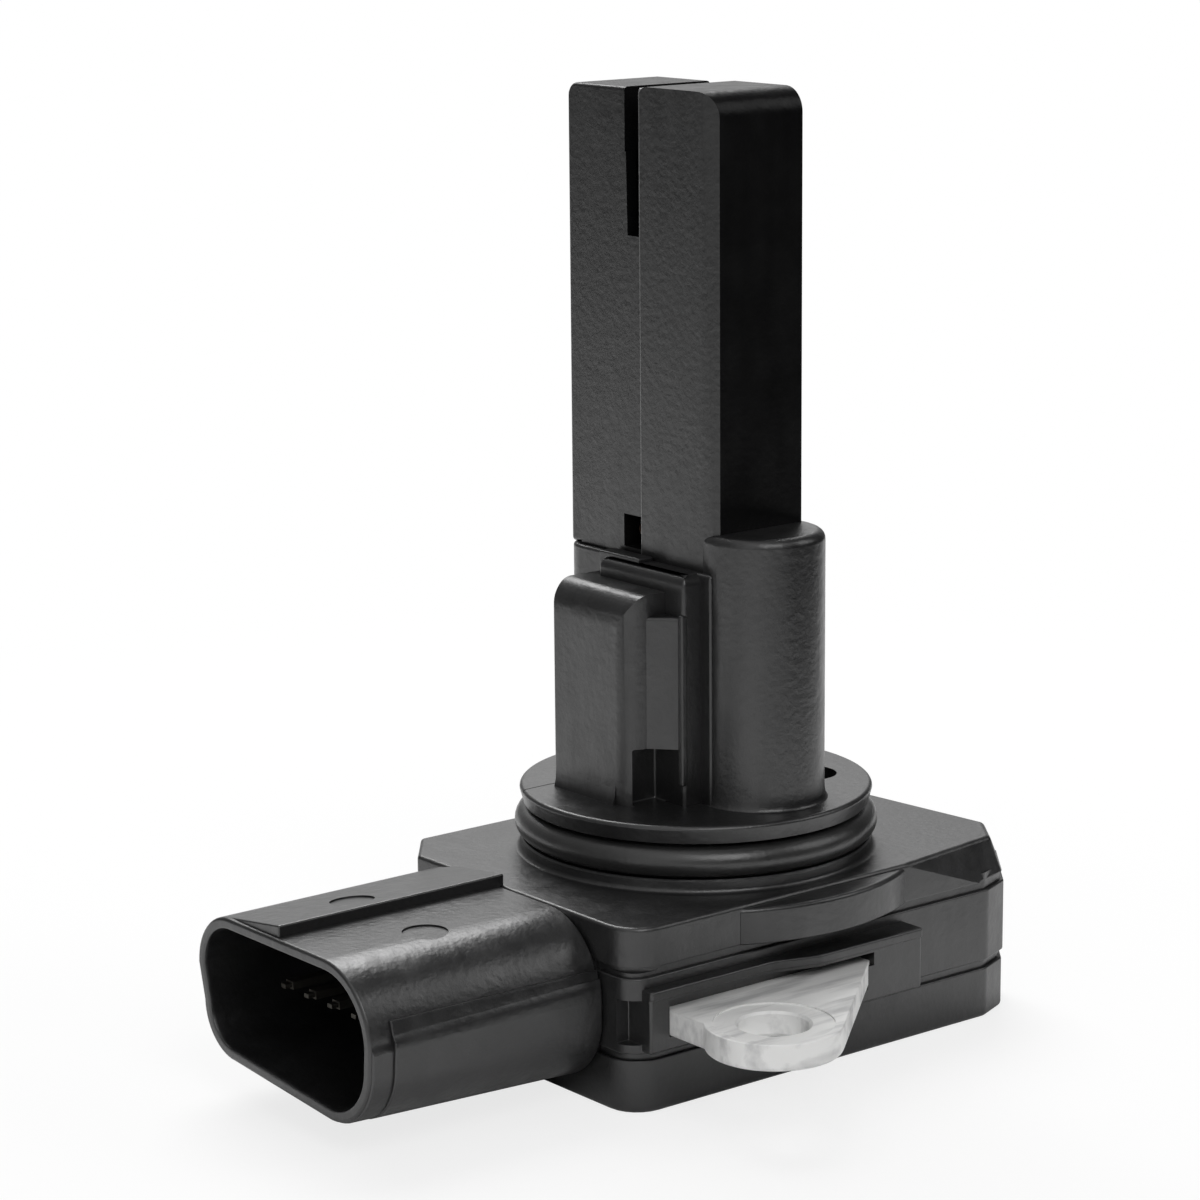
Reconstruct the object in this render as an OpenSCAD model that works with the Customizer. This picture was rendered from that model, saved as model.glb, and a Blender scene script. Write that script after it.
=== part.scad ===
// Plug-in mass airflow sensor that stands on its back cover.
// Millimetres. The origin is on the spigot's axis, at the sealing face on top of the flange.
// +Z runs up the measuring column, and the connector points to -X.

/* [Base] */
// Distance from the spigot axis to the connector side of the base
base_left = 19.9; // [19:0.1:21]
// Distance from the spigot axis to the far end of the base, below its front corner
base_right = 24; // [23.5:0.1:25]
// How much shorter the base is along its back side
base_slant = 2.3; // [1:0.1:2.8]
// How far the flange's far side leans in towards its top
base_lean = 1.4; // [0.5:0.1:2]
// Half of the base's depth
base_half_y = 15.9; // [15.5:0.1:17]
// Corner cut of the base at the back
base_cut = 3.6; // [2:0.1:5]
// Rounding of the base's front left corner
base_corner_r = 3; // [1:0.05:3.5]
// Thickness of the flange
flange_t = 3.6; // [3:0.1:5]
// Height of the middle moulding
case_t = 6.8; // [6.6:0.1:8]
// Height of the back cover
cover_t = 4.7; // [4.3:0.1:6]
// Depth of the shadow line at each joint of the base
joint_line = 0.35; // [0.1:0.05:0.5]
// Radius of the bulge on the flange's front side
bulge_r = 18.2; // [17.5:0.1:19]

/* [Spigot] */
// Radius of the spigot, which fits the air duct's hole
spigot_r = 14.57; // [14.3:0.01:15]
// Height of the spigot above the flange
spigot_h = 5.46; // [5.3:0.02:6.5]
// Thickness of the O-ring's cord
ring_d = 2.6; // [2.2:0.1:2.8]
// How far the O-ring stands out of the spigot
ring_proud = 0.43; // [0.3:0.01:0.6]
// Thickness of the spigot's top lip
lip_t = 1.46; // [1.3:0.02:1.6]

/* [Column] */
// Width of the measuring column along the connector's direction
column_w = 9.2; // [9:0.1:10]
// Depth of each half of the column
half_d = 9.35; // [9:0.05:10]
// Place of the seam between the halves
seam_y = 2.05; // [1.8:0.05:2.3]
// Place of the column's middle along the connector's direction
column_x = 0.5; // [0.3:0.05:0.7]
// Height of the column's tip above the flange
column_h = 62.5; // [60:0.1:70]
// How far the left half's face is set back from the right half's
half_step = 0.25; // [0.1:0.05:0.4]
// How much lower the left half's top is
half_drop = 0.15; // [0.05:0.05:0.3]
// Length of the slight slant along the column's front edge
column_slant = 1.7; // [1:0.1:3]
// Rounding of the right half's top front edge
tip_r = 2; // [1:0.1:3]
// Width of the outlet slot beside the seam
slot_w = 1.75; // [1:0.05:2.5]
// Length of the outlet slot down from the tip
slot_h = 12; // [10:0.1:13]
// How much narrower the slot is at its lower end
slot_taper = 0.3; // [0:0.05:0.5]

/* [Air passage] */
// Height of the inlet in the column's far side
inlet_h = 8; // [6:0.1:8.5]
// Depth of the passage in each half
duct_d = 4.45; // [4.2:0.05:5]
// Width of each leg of the curved passage
duct_w = 2.6; // [2.2:0.05:2.8]
// Wall between the two legs
divider_t = 1.4; // [1.2:0.05:1.6]
// Height of the bend's centre above the flange
bend_z = 33; // [32.5:0.1:36]

/* [Sleeve] */
// Height of the round lobe's top above the flange
round_lobe_h = 27.6; // [24:0.1:32]
// Radius of the round lobe
round_lobe_r = 5.13; // [4.9:0.01:5.4]
// Height of the flat lobe's top above the flange
flat_lobe_h = 22.8; // [18:0.1:24]
// Distance from the spigot axis to the flat lobe's face
flat_lobe_x = 10; // [9:0.1:11]
// Height of the web between the lobes above the flange
web_h = 24.4; // [22:0.1:26]
// Wall of the sleeve beside the column
web_wall = 2.2; // [1.5:0.1:2.5]

/* [Connector] */
// Length of the connector beyond the base
shroud_len = 21.6; // [19:0.1:26]
// Wall of the connector shroud at its mouth
shroud_wall = 0.95; // [0.8:0.05:1.2]
// Depth of the socket
socket_depth = 18; // [16:0.1:18.5]
// Height of the step along the top of the connector
step_h = 0.95; // [0.5:0.05:1.2]
// Pitch of the five terminals
terminal_pitch = 3.2; // [2.8:0.05:3.4]
// Width of a terminal blade
terminal_w = 1; // [0.8:0.05:1.2]
// Thickness of a terminal blade
terminal_t = 0.64; // [0.5:0.02:0.8]

/* [Mounting plate] */
// Thickness of the aluminium plate
plate_t = 2.2; // [1.8:0.05:2.4]
// Distance of each screw hole from the spigot axis, along the connector
hole_x = 12.45; // [12:0.05:13]
// Distance of each screw hole from the spigot axis, across the connector
hole_y = 24.05; // [23.5:0.05:25]
// Radius of the screw holes
hole_r = 2.8; // [2.6:0.05:3]
// Radius of the ears' round ends
ear_r = 5.4; // [5.2:0.05:6]

/* [Electronics] */
// Thickness of the ceramic board
board_t = 0.64; // [0.5:0.02:0.7]
// Length of the ceramic board
board_l = 26; // [24:0.5:27]
// Width of the ceramic board
board_w = 20; // [19:0.5:21]
// Side of the processor chip
processor_w = 5; // [4:0.1:6]
// Thickness of the sensor carrier's blade
carrier_t = 1.2; // [1:0.05:1.4]

/* [Clearances] */
// Gap round the column in its sleeve
column_fit = 0.05; // [0.02:0.01:0.1]
// Gap filled by the sealing adhesive
glue_gap = 0.3; // [0.2:0.02:0.4]
// Gap round pieces that pass through another
pass_fit = 0.1; // [0.05:0.01:0.2]

/* [Hidden] */

$fn = 96;
// Overshoot of a cutting solid past the face that it cuts
cut = 1;

// Levels of the base, from the sealing face down
case_top = -flange_t;
case_bottom = case_top - case_t;
floor_z = case_bottom - cover_t;

// Plan of the base
front_turn_x = base_right - 5.7;
front_cut_x = base_right - 2.7;
front_cut_y = base_half_y - 1.2;
front_corner_y = base_half_y - 4.4;
back_right = base_right - base_slant;
back_corner_y = base_half_y - 4;
back_cut_right = back_right - base_cut * 0.85;
back_cut_left = base_left - base_cut * 0.9;
bulge_drop = 0.3;
edge_step = 0.25;
edge_step_h = 0.5;
cover_floor_t = 1.5;

// Top outline of the flange's leaning sides: points along its front and far edges
lean_start = 8.6;
lean_turn = [base_right - 4, -base_half_y + 1.6];
lean_corner = [base_right - base_lean, -base_half_y + 5.1];
lean_end = [back_right - base_lean, back_corner_y];
lean_edge = [[lean_start, -base_half_y], lean_turn, lean_corner, lean_end];
lean_reach = 30;

// Ear pads moulded on the case round the plate's necks
pad_top = case_top - 1.2;
pad_bottom = case_bottom + 0.5;
pad_left = 18.7;
pad_right = 8.8;
pad_low_y = base_half_y + 1.05;
pad_high_y = base_half_y + 2.3;
pad_bend_x = 4.3;
pad_bend_r = 1.9;
pad_root = 3;
case_notch = 1.9;
// Recess in the pad above the plate's neck
neck_gap = 0.8;
neck_depth = 0.8;

// Mounting plate
plate_top = case_top - 3;
plate_bottom = plate_top - plate_t;
plate_left = base_left - 6.3;
plate_right = 15.5;
plate_half_y = base_half_y - 4.9;
ear_root_left = base_left - 4.4;
ear_flank_y = base_half_y + 3.9;
ear_root_right = 3.5;
ear_root_y = base_half_y + 1.6;
spot_r = 4.7;
spot_depth = 0.12;

// Spigot and O-ring groove
ring_seat = 0.01;
groove_w = 2.92;
groove_high = spigot_h - lip_t;
groove_low = groove_high - groove_w;
ring_r = spigot_r + ring_proud - ring_d / 2;
ring_z = groove_low + ring_seat + ring_d / 2;
groove_r = ring_r - ring_d / 2 - ring_seat;
lip_edge = 0.35;
core_out = [8.45, -4.6];
core_out_r = 2.3;
core_out_depth = 3;

// Column
column_left = column_x - column_w / 2;
column_right = column_x + column_w / 2;
column_front = seam_y - half_d;
column_back = seam_y + half_d;
column_foot = 1.6;
column_slant_in = 0.3;
back_r = 0.8;
slot_y = seam_y + 0.2;
slot_low = column_h - slot_h;
notch_h = 5.3;
notch_low = column_h - notch_h;
window_w = 2.4;
window_h = 2.7;
window_low = 25;
window_y = seam_y - 0.05;

// Air passage: a leg down from the inlet, a bend, and a leg up to the slot
leg_in = divider_t / 2;
leg_out = leg_in + duct_w;
inlet_drop = 15.3;
inlet_low = column_h - inlet_drop;
inlet_left = column_x + leg_in;

// Sleeve
sleeve_left = column_left - web_wall;
sleeve_right = column_right + 1.2;
sleeve_back_left = column_left - 0.45;
sleeve_front = column_front;
sleeve_back = column_back + 0.4;
sleeve_r = 2.4;
tenon_set_in = 1.4;
lobe_rim = 0.8;
web_edge = 1;
round_lobe_x = column_x + 0.33;
flat_lobe_front = -3.8;
flat_lobe_back = 6.2;
lobe_edge_r = 1.9;
lobe_back_r = 0.6;
foot_h = 1.6;
foot_flare = 0.3;
pocket_set_in = 0.6;
pocket_depth = 1.4;
pocket_top = 10.2;
web_back = 4.7;
clip_x = sleeve_left + 0.6;
clip_front = 0.3;
clip_back = 5.4;
clip_base = web_h - 2;
clip_top = web_h + 0.35;
web_rib_t = 0.5;
web_rib_out = 0.5;
web_rib_y = -4.6;
web_rib_low = 8;
web_rib_top = web_h - 3.4;

// Opening that the carrier and the thermistor's wires pass through
stem = [[-3, -4.2], [4, 4.2]];

// Electronics, hung below the plate
board_z = plate_bottom - board_t;
chip_h = 1.1;
processor_at = [8.2, 4.6];
capacitor = [1.6, 0.8, 0.8];
capacitor_at = [[-9, 6], [-9, -6], [8, -3.5], [8, -7]];
gel_low = case_bottom - 1.1;
dam_t = 1.1;
dam_h = 1.8;
dam_x = base_left - 2.6;
dam_y = base_half_y - 3;
cavity_x = dam_x - dam_t;
cavity_y = dam_y - dam_t;

// Carrier, its leads and the sensing chip
carrier_w = 6.2;
carrier_x = column_x;
carrier_face = seam_y - duct_d;
carrier_top = 42;
carrier_shoulder = 0.2;
lead_w = 0.4;
lead_t = 0.15;
lead_pitch = 1.2;
chip = [1.6, 0.4, 2.4];
chip_z = 38;
chip_x = column_x + leg_in + duct_w / 2;

// Air thermistor in the window
bead_r = 0.8;
bead_at = [-2.2, seam_y + 1.15, window_low + window_h / 2];
wire_r = 0.15;
wire_gap = 0.7;
wire_bore_r = wire_r + pass_fit;

// Terminals
terminal_z = -6.2;
terminal_set_back = 4.5;
terminal_tip_x = base_left + shroud_len - terminal_set_back;
terminal_bend_x = base_left - 3.5;
terminal_pad_x = plate_left + 0.6;
terminal_nose = 0.6;
nose_side = 0.2;
nose_drop = 0.15;

// Bond wires
bond_r = 0.15;
bond_x_span = 1.3;
bond_y_span = 1;
bond_edge_x = board_l / 2 + 0.5;

// Adhesive groove in the case's top
bead_t = 1.2;
bead_d = 0.9;
tongue_d = 0.6;
bead_x = base_left - 3;
bead_y = base_half_y - 2.3;

// Connector outline: centre y, centre z and radius of each corner, at the mouth
mouth_corners = [[-5.8, -6, 6], [-6.4, -7.4, 5.3], [6.8, -7.4, 4.2], [7.2, -4.5, 4.5]];
// Growth of each corner towards the root: y, z and radius
root_growth = [[-0.3, -0.15, 0.15], [-0.2, -0.4, 0.35], [0.2, -0.5, 0.2], [0.1, 0, 0]];
mouth_x = base_left + shroud_len;
corner_steps = 10;
socket_taper = 0.35;

// Ledges along the shroud's lower front side: start from the mouth, level and reach
ledges = [[0.2, -5.9, 0.25], [2, -4.85, 0.55], [2, -4.15, 0.3]];
ledge_root = 0.6;

// Step along the shroud's top: front, back, level at the back, start from the mouth and end
step_y = 0.6;
step_back_y = 7.75;
step_back_z = -0.03;
step_start = 0.4;
step_over = 0.4;
step_sink = 1;
step_slope = (step_h - step_back_z) / (step_back_y - step_y);

// Ejector marks on the shroud's top, one on the step and one beside it
mark_r = 1.8;
mark_d = 0.12;
step_mark = [9.3 - mouth_x, 3.6];
side_mark = [9.9 - mouth_x, -5.3];

// Points along an arc
function arc(x, y, r, from, to, steps) =
    [for (i = [0:steps]) let (a = from + (to - from) * i / steps) [x + r * cos(a), y + r * sin(a)]];

// Point where a line from p touches a circle, clockwise from p
function touch(c, r, p) =
    let (d = p - c, a = atan2(d[1], d[0]) - acos(r / norm(d)))
    [c[0] + r * cos(a), c[1] + r * sin(a)];

// Plan of the base, drawn in by inset on every side
module base_plan(inset, corner_r) {
    left = -base_left + inset;
    front = -base_half_y + inset;
    back = base_half_y - inset;
    union() {
        polygon([
            [left, front + corner_r],
            [left + corner_r, front],
            [front_turn_x, front],
            [front_cut_x, -front_cut_y + inset],
            [base_right - inset, -front_corner_y + inset / 2],
            [back_right - inset, back_corner_y - inset / 2],
            [back_cut_right, back],
            [-back_cut_left, back],
            [left, back_corner_y - inset / 2]]);
        translate([left + corner_r, front + corner_r])
            circle(corner_r);
    }
}

// Slab of the base between two levels
module base_slab(low, high, inset, corner_r = base_corner_r) {
    translate([0, 0, low])
        linear_extrude(high - low)
            base_plan(inset, corner_r);
}

// Box between two corners
module block(a, b) {
    translate(a)
        cube(b - a);
}

// Rectangular ring centred on the axis
module frame_ring(x, y, t, low, high) {
    difference() {
        block([-x, -y, low], [x, y, high]);
        block([-x + t, -y + t, low - cut], [x - t, y - t, high + cut]);
    }
}

// Everything outside a plane that leans out from the top line a to b
module lean_cut(a, b) {
    along = b - a;
    translate([a[0], a[1], 0])
        rotate([0, 0, atan2(along[1], along[0])])
            rotate([-atan(base_lean / flange_t), 0, 0])
                block([-lean_reach, -lean_reach, -lean_reach], [lean_reach * 2, 0, lean_reach]);
}

// Plan of the column with its slanted front edge, grown by fit, with its back face set in
module column_plan(fit, set_in = 0) {
    left = column_left - fit;
    right = column_right + fit;
    front = column_front - fit;
    back = column_back - set_in + fit;
    polygon([
        [left, front + column_slant],
        [left + column_slant_in, front],
        [right, front],
        [right, back],
        [left, back]]);
}

// Outline whose top front edge is rounded, as a block between two levels and two depths
module rounded_front(front, back, low, high, r) {
    x_from = column_left - cut;
    x_to = column_right + cut;
    union() {
        block([x_from, front, low], [x_to, back, high - r]);
        block([x_from, front + r, low], [x_to, back, high]);
        translate([x_from, front + r, high - r])
            rotate([0, 90, 0])
                cylinder(r = r, h = x_to - x_from);
    }
}

// Passage in the plane of the seam, from one depth to another
module duct(from_y, to_y) {
    centre = [column_x, bend_z];
    translate([0, to_y, 0])
        rotate([90, 0, 0])
            linear_extrude(to_y - from_y)
                union() {
                    translate([column_x + leg_in, bend_z])
                        square([duct_w, inlet_low - bend_z + cut]);
                    translate([column_x - leg_out, bend_z])
                        square([duct_w, notch_low - bend_z]);
                    intersection() {
                        difference() {
                            translate(centre)
                                circle(leg_out);
                            translate(centre)
                                circle(leg_in);
                        }
                        translate(centre - [leg_out, leg_out])
                            square([leg_out * 2, leg_out]);
                    }
                    translate([inlet_left, inlet_low])
                        square([column_right - inlet_left + cut, inlet_h]);
                }
}

// Opening through which the carrier and the wires pass, between two levels
module stem_opening(low, high) {
    block([stem[0][0], stem[0][1], low], [stem[1][0], stem[1][1], high]);
}

module carrier_blade(fit) {
    block([carrier_x - carrier_w / 2 - fit, carrier_face - carrier_t - fit, column_foot - cut],
        [carrier_x + carrier_w / 2 + fit, carrier_face + fit, carrier_top + fit]);
}

module spigot() {
    difference() {
        rotate_extrude()
            polygon([
                [0, -cut],
                [spigot_r, -cut],
                [spigot_r, groove_low],
                [groove_r, groove_low],
                [groove_r, groove_high],
                [spigot_r, groove_high],
                [spigot_r, spigot_h - lip_edge],
                [spigot_r - lip_edge, spigot_h],
                [0, spigot_h]]);
        translate([core_out[0], core_out[1], spigot_h - core_out_depth])
            cylinder(r = core_out_r, h = core_out_depth + cut);
    }
}

// Round lobe in front of the column, with a rounded rim
module round_lobe() {
    translate([round_lobe_x, sleeve_front, 0]) {
        translate([0, 0, groove_high])
            cylinder(r = round_lobe_r, h = round_lobe_h - lobe_rim - groove_high);
        translate([0, 0, round_lobe_h - lobe_rim]) {
            cylinder(r = round_lobe_r - lobe_rim, h = lobe_rim);
            rotate_extrude()
                translate([round_lobe_r - lobe_rim, 0])
                    circle(lobe_rim);
        }
        translate([0, 0, spigot_h])
            cylinder(r1 = round_lobe_r + foot_flare, r2 = round_lobe_r, h = foot_h);
    }
}

// Upright slab of the flat lobe with its two rounded edges
module flat_lobe_plan() {
    left = -flat_lobe_x;
    front = flat_lobe_front;
    back = flat_lobe_back;
    union() {
        polygon([
            [left, front + lobe_edge_r],
            [left + lobe_edge_r, front],
            [0, front],
            [0, back],
            [left + lobe_back_r, back],
            [left, back - lobe_back_r]]);
        translate([left + lobe_edge_r, front + lobe_edge_r])
            circle(lobe_edge_r);
        translate([left + lobe_back_r, back - lobe_back_r])
            circle(lobe_back_r);
    }
}

// Flat lobe with a rounded shoulder, a sloping foot and a pocket beside the foot
module flat_lobe() {
    front = flat_lobe_front;
    back = flat_lobe_back;
    depth = back - front;
    difference() {
        intersection() {
            translate([0, 0, groove_high])
                linear_extrude(flat_lobe_h - groove_high)
                    flat_lobe_plan();
            union() {
                block([-flat_lobe_x - cut, front - cut, -cut],
                    [cut, back + cut, flat_lobe_h - lobe_edge_r]);
                block([-flat_lobe_x + lobe_edge_r, front - cut, -cut],
                    [cut, back + cut, flat_lobe_h]);
                translate([-flat_lobe_x + lobe_edge_r, back + cut, flat_lobe_h - lobe_edge_r])
                    rotate([90, 0, 0])
                        cylinder(r = lobe_edge_r, h = depth + 2 * cut);
            }
        }
        block([-flat_lobe_x + pocket_set_in, front - cut, spigot_h],
            [sleeve_left, front + pocket_depth, pocket_top]);
    }
    translate([0, back - lobe_back_r, 0])
        rotate([90, 0, 0])
            linear_extrude(depth - lobe_back_r - lobe_edge_r)
                polygon([
                    [-flat_lobe_x - foot_flare, spigot_h],
                    [0, spigot_h],
                    [-flat_lobe_x, spigot_h + foot_h]]);
}

// Web that joins the lobes, with its upright rib and the clip ledge over it
module web() {
    block([sleeve_left, sleeve_front, spigot_h], [0, web_back, web_h - web_edge]);
    block([sleeve_left + web_edge, sleeve_front, spigot_h], [0, web_back, web_h]);
    translate([0, 0, groove_high])
        linear_extrude(web_h - groove_high)
            union() {
                translate([sleeve_back_left, sleeve_front])
                    square([sleeve_right - sleeve_back_left, sleeve_back - sleeve_front - sleeve_r]);
                translate([sleeve_back_left + sleeve_r, sleeve_front])
                    square([sleeve_right - sleeve_back_left - 2 * sleeve_r, sleeve_back - sleeve_front]);
                for (x = [sleeve_back_left + sleeve_r, sleeve_right - sleeve_r])
                    translate([x, sleeve_back - sleeve_r])
                        circle(sleeve_r);
            }
    block([sleeve_left - web_rib_out, web_rib_y, web_rib_low], [0, web_rib_y + web_rib_t, web_rib_top]);
    block([clip_x, clip_front, clip_base], [column_left, clip_back, clip_top]);
}

module flange_housing() {
    color("dimgray")
        difference() {
            union() {
                difference() {
                    union() {
                        base_slab(case_top, case_top + joint_line, joint_line);
                        base_slab(case_top + joint_line, 0, 0);
                    }
                    for (i = [0:2])
                        lean_cut(lean_edge[i], lean_edge[i + 1]);
                }
                intersection() {
                    translate([0, 0, case_top + joint_line])
                        cylinder(r = bulge_r, h = flange_t - joint_line - bulge_drop);
                    block([-bulge_r, -bulge_r - cut, case_top], [bulge_r, -base_half_y + cut, 0]);
                }
                spigot();
                round_lobe();
                flat_lobe();
                web();
                frame_ring(bead_x, bead_y, bead_t - 2 * glue_gap, case_top - tongue_d, case_top + cut);
            }
            translate([0, 0, column_foot])
                linear_extrude(column_h)
                    column_plan(column_fit, tenon_set_in);
            stem_opening(case_top - cut, column_foot + cut);
        }
}

// Outline of the shroud at x, with the corners moved by grow and shrunk by inset
function shroud_outline(x, inset, grow, out) =
    [for (i = [0:3])
        let (
            corner = mouth_corners[i] + root_growth[i] * grow,
            y = corner[0] < 0 ? corner[0] - out : corner[0])
        for (p = arc(y, corner[1], corner[2] - inset, 90 + i * 90, 180 + i * 90, corner_steps))
            [x, p[0], p[1]]];

// Solid between two outlines with the same number of points
module loft(from, to) {
    n = len(from);
    sides = [for (i = [0:n - 1])
        let (j = (i + 1) % n)
        each [[i, n + i, j], [j, n + i, n + j]]];
    from_cap = [for (i = [0:n - 1]) i];
    to_cap = [for (i = [0:n - 1]) 2 * n - 1 - i];
    polyhedron(points = concat(from, to), faces = concat([from_cap, to_cap], sides));
}

module shroud_outer() {
    loft(shroud_outline(-mouth_x, 0, 0, 0), shroud_outline(-base_left, 0, 1, 0));
}

// Thicker lower wall on the front side, whose top is a ledge
module shroud_ledge(start, level, out) {
    intersection() {
        loft(shroud_outline(-mouth_x + start, 0, 0, out),
            shroud_outline(-base_left, 0, 1, out * ledge_root));
        block([-mouth_x, -base_half_y, floor_z], [-base_left + cut, 0, level]);
    }
}

module socket() {
    loft(shroud_outline(-mouth_x - cut, shroud_wall, 0, 0),
        shroud_outline(-mouth_x + socket_depth, shroud_wall + socket_taper, 0, 0));
}

// Raised half of the shroud's top, which slopes down to the back and ends on the flange
module shroud_step() {
    length = shroud_len - step_start;
    translate([-mouth_x + step_start, 0, 0])
        rotate([90, 0, 90]) {
            linear_extrude(length)
                polygon([
                    [step_y, -step_sink],
                    [step_y, step_h],
                    [step_back_y, step_back_z],
                    [step_back_y, -step_sink]]);
            linear_extrude(length + step_over)
                polygon([[step_y, 0], [step_y, step_h], [step_y + step_h / step_slope, 0]]);
        }
}

// Shallow round recess at a place and level of the shroud's top
module ejector_mark(at, level) {
    translate([at[0], at[1], level - mark_d])
        cylinder(r = mark_r, h = cut);
}

// Pad round the plate's neck, with a bend in its outer face
module ear_pad() {
    translate([0, 0, pad_bottom])
        linear_extrude(pad_top - pad_bottom)
            polygon([
                [-pad_left, -base_half_y + pad_root],
                [-pad_left, -pad_low_y],
                [-pad_bend_x - pad_bend_r, -pad_low_y],
                [-pad_bend_x + pad_bend_r, -pad_high_y],
                [pad_right, -pad_high_y],
                [pad_right, -base_half_y + pad_root]]);
}

// Recess in the pad's outer face above the plate's neck
module neck_recess() {
    block([-ear_root_left, -pad_high_y - cut, plate_top],
        [ear_root_right, -pad_low_y + neck_depth, plate_top + neck_gap]);
}

module half_turn_pair() {
    for (turn = [0, 180])
        rotate([0, 0, turn])
            children();
}

module terminal(i) {
    y = (i - 3) * terminal_pitch;
    low = terminal_z - terminal_t / 2;
    high = terminal_z + terminal_t / 2;
    half = terminal_w / 2;
    color("goldenrod")
        union() {
            block([-terminal_tip_x + terminal_nose, y - half, low], [-terminal_bend_x, y + half, high]);
            block([-terminal_tip_x, y - half + nose_side, low + nose_drop],
                [-terminal_tip_x + terminal_nose, y + half - nose_side, high - nose_drop]);
            block([-terminal_bend_x - terminal_t, y - half, board_z], [-terminal_bend_x, y + half, high]);
            block([-terminal_bend_x - terminal_t, y - half, board_z],
                [-terminal_pad_x, y + half, plate_bottom]);
        }
}

module connector_case() {
    color("dimgray")
        difference() {
            union() {
                base_slab(case_bottom + joint_line, case_top - joint_line, 0, case_notch);
                base_slab(case_bottom, case_bottom + joint_line, joint_line, case_notch);
                base_slab(case_top - joint_line, case_top, joint_line, case_notch);
                half_turn_pair()
                    ear_pad();
                frame_ring(dam_x, dam_y, dam_t, case_bottom - dam_h, case_bottom + cut);
                difference() {
                    union() {
                        shroud_outer();
                        for (l = ledges)
                            shroud_ledge(l[0], l[1], l[2]);
                        shroud_step();
                    }
                    socket();
                    ejector_mark(step_mark, step_h - (step_mark[1] - step_y) * step_slope);
                    ejector_mark(side_mark, 0);
                }
            }
            plate_solid();
            half_turn_pair()
                neck_recess();
            block([-cavity_x, -cavity_y, case_bottom - dam_h - cut], [cavity_x, cavity_y, plate_bottom]);
            stem_opening(plate_top - cut, case_top + cut);
            frame_ring(bead_x + glue_gap, bead_y + glue_gap, bead_t, case_top - bead_d, case_top + cut);
            for (i = [1:5])
                terminal(i);
        }
}

module back_cover() {
    inner_x = dam_x + glue_gap;
    inner_y = dam_y + glue_gap;
    color("dimgray")
        difference() {
            union() {
                base_slab(floor_z, floor_z + edge_step_h, edge_step);
                base_slab(floor_z + edge_step_h, case_bottom - joint_line, 0);
                base_slab(case_bottom - joint_line, case_bottom, joint_line);
            }
            block([-inner_x, -inner_y, floor_z + cover_floor_t], [inner_x, inner_y, case_bottom + cut]);
        }
}

// Plan of one ear: a round end joined to the plate by two flanks
module ear_plan() {
    centre = [-hole_x, -hole_y];
    root = [ear_root_right, -ear_root_y];
    translate(centre)
        circle(ear_r);
    polygon([
        [-ear_root_left, -plate_half_y + cut],
        [-ear_root_left, -ear_flank_y],
        centre,
        touch(centre, ear_r, root),
        root,
        [ear_root_right, -plate_half_y + cut]]);
}

module plate_solid() {
    translate([0, 0, plate_bottom])
        linear_extrude(plate_t)
            union() {
                translate([-plate_left, -plate_half_y])
                    square([plate_left + plate_right, plate_half_y * 2]);
                half_turn_pair()
                    ear_plan();
            }
}

module mounting_plate() {
    color("silver")
        difference() {
            plate_solid();
            half_turn_pair()
                translate([-hole_x, -hole_y, 0]) {
                    translate([0, 0, plate_bottom - cut])
                        cylinder(r = hole_r, h = plate_t + 2 * cut);
                    translate([0, 0, plate_top - spot_depth])
                        cylinder(r = spot_r, h = cut);
                }
            stem_opening(plate_bottom - cut, plate_top + cut);
        }
}

module o_ring() {
    color("black")
        rotate_extrude()
            translate([ring_r, ring_z])
                circle(ring_d / 2);
}

// Bores for the thermistor's two wires
module wire_pair(r, low, high) {
    for (side = [-1, 1])
        translate([bead_at[0] + side * wire_gap / 2, bead_at[1], low])
            cylinder(r = r, h = high - low, $fn = 24);
}

// Slot in the left face, beside the seam, which narrows towards its lower end
module outlet_slot() {
    translate([column_left - cut, 0, 0])
        rotate([90, 0, 90])
            linear_extrude(column_x - leg_in - column_left + cut)
                polygon([
                    [slot_y, slot_low],
                    [slot_y + slot_w - slot_taper, slot_low],
                    [slot_y + slot_w, column_h + cut],
                    [slot_y, column_h + cut]]);
}

module bypass_body() {
    color("dimgray")
        difference() {
            intersection() {
                translate([half_step, 0, 0])
                    union() {
                        translate([0, 0, web_h])
                            linear_extrude(column_h - half_drop - web_h)
                                column_plan(0);
                        translate([0, 0, column_foot])
                            linear_extrude(web_h - column_foot + cut)
                                column_plan(0, tenon_set_in);
                    }
                mirror([0, 1, 0])
                    rounded_front(-column_back, -seam_y, 0, column_h - half_drop, back_r);
                block([column_left, seam_y, 0], [column_right, column_back + cut, column_h + cut]);
            }
            duct(seam_y - cut, seam_y + duct_d);
            outlet_slot();
            block([column_left - cut, slot_y, notch_low],
                [column_right + cut, slot_y + slot_w, column_h + cut]);
            block([column_left - cut, window_y, window_low],
                [column_x, window_y + window_w, window_low + window_h]);
            wire_pair(wire_bore_r, column_foot - cut, window_low + cut);
        }
}

module bypass_cover() {
    color("dimgray")
        difference() {
            intersection() {
                translate([0, 0, column_foot])
                    linear_extrude(column_h - column_foot)
                        column_plan(0);
                rounded_front(column_front, seam_y, 0, column_h, tip_r);
            }
            duct(carrier_face, seam_y + cut);
            carrier_blade(pass_fit / 2);
        }
}

// Strips from the sensing chip down to the carrier's foot
module sensor_leads() {
    color("peru")
        for (i = [0:3]) {
            x = carrier_x + (i - 1.5) * lead_pitch;
            block([x - lead_w / 2, carrier_face - carrier_t / 2 - lead_t, board_z],
                [x + lead_w / 2, carrier_face - carrier_t / 2, chip_z - chip[2] / 2]);
        }
}

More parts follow.
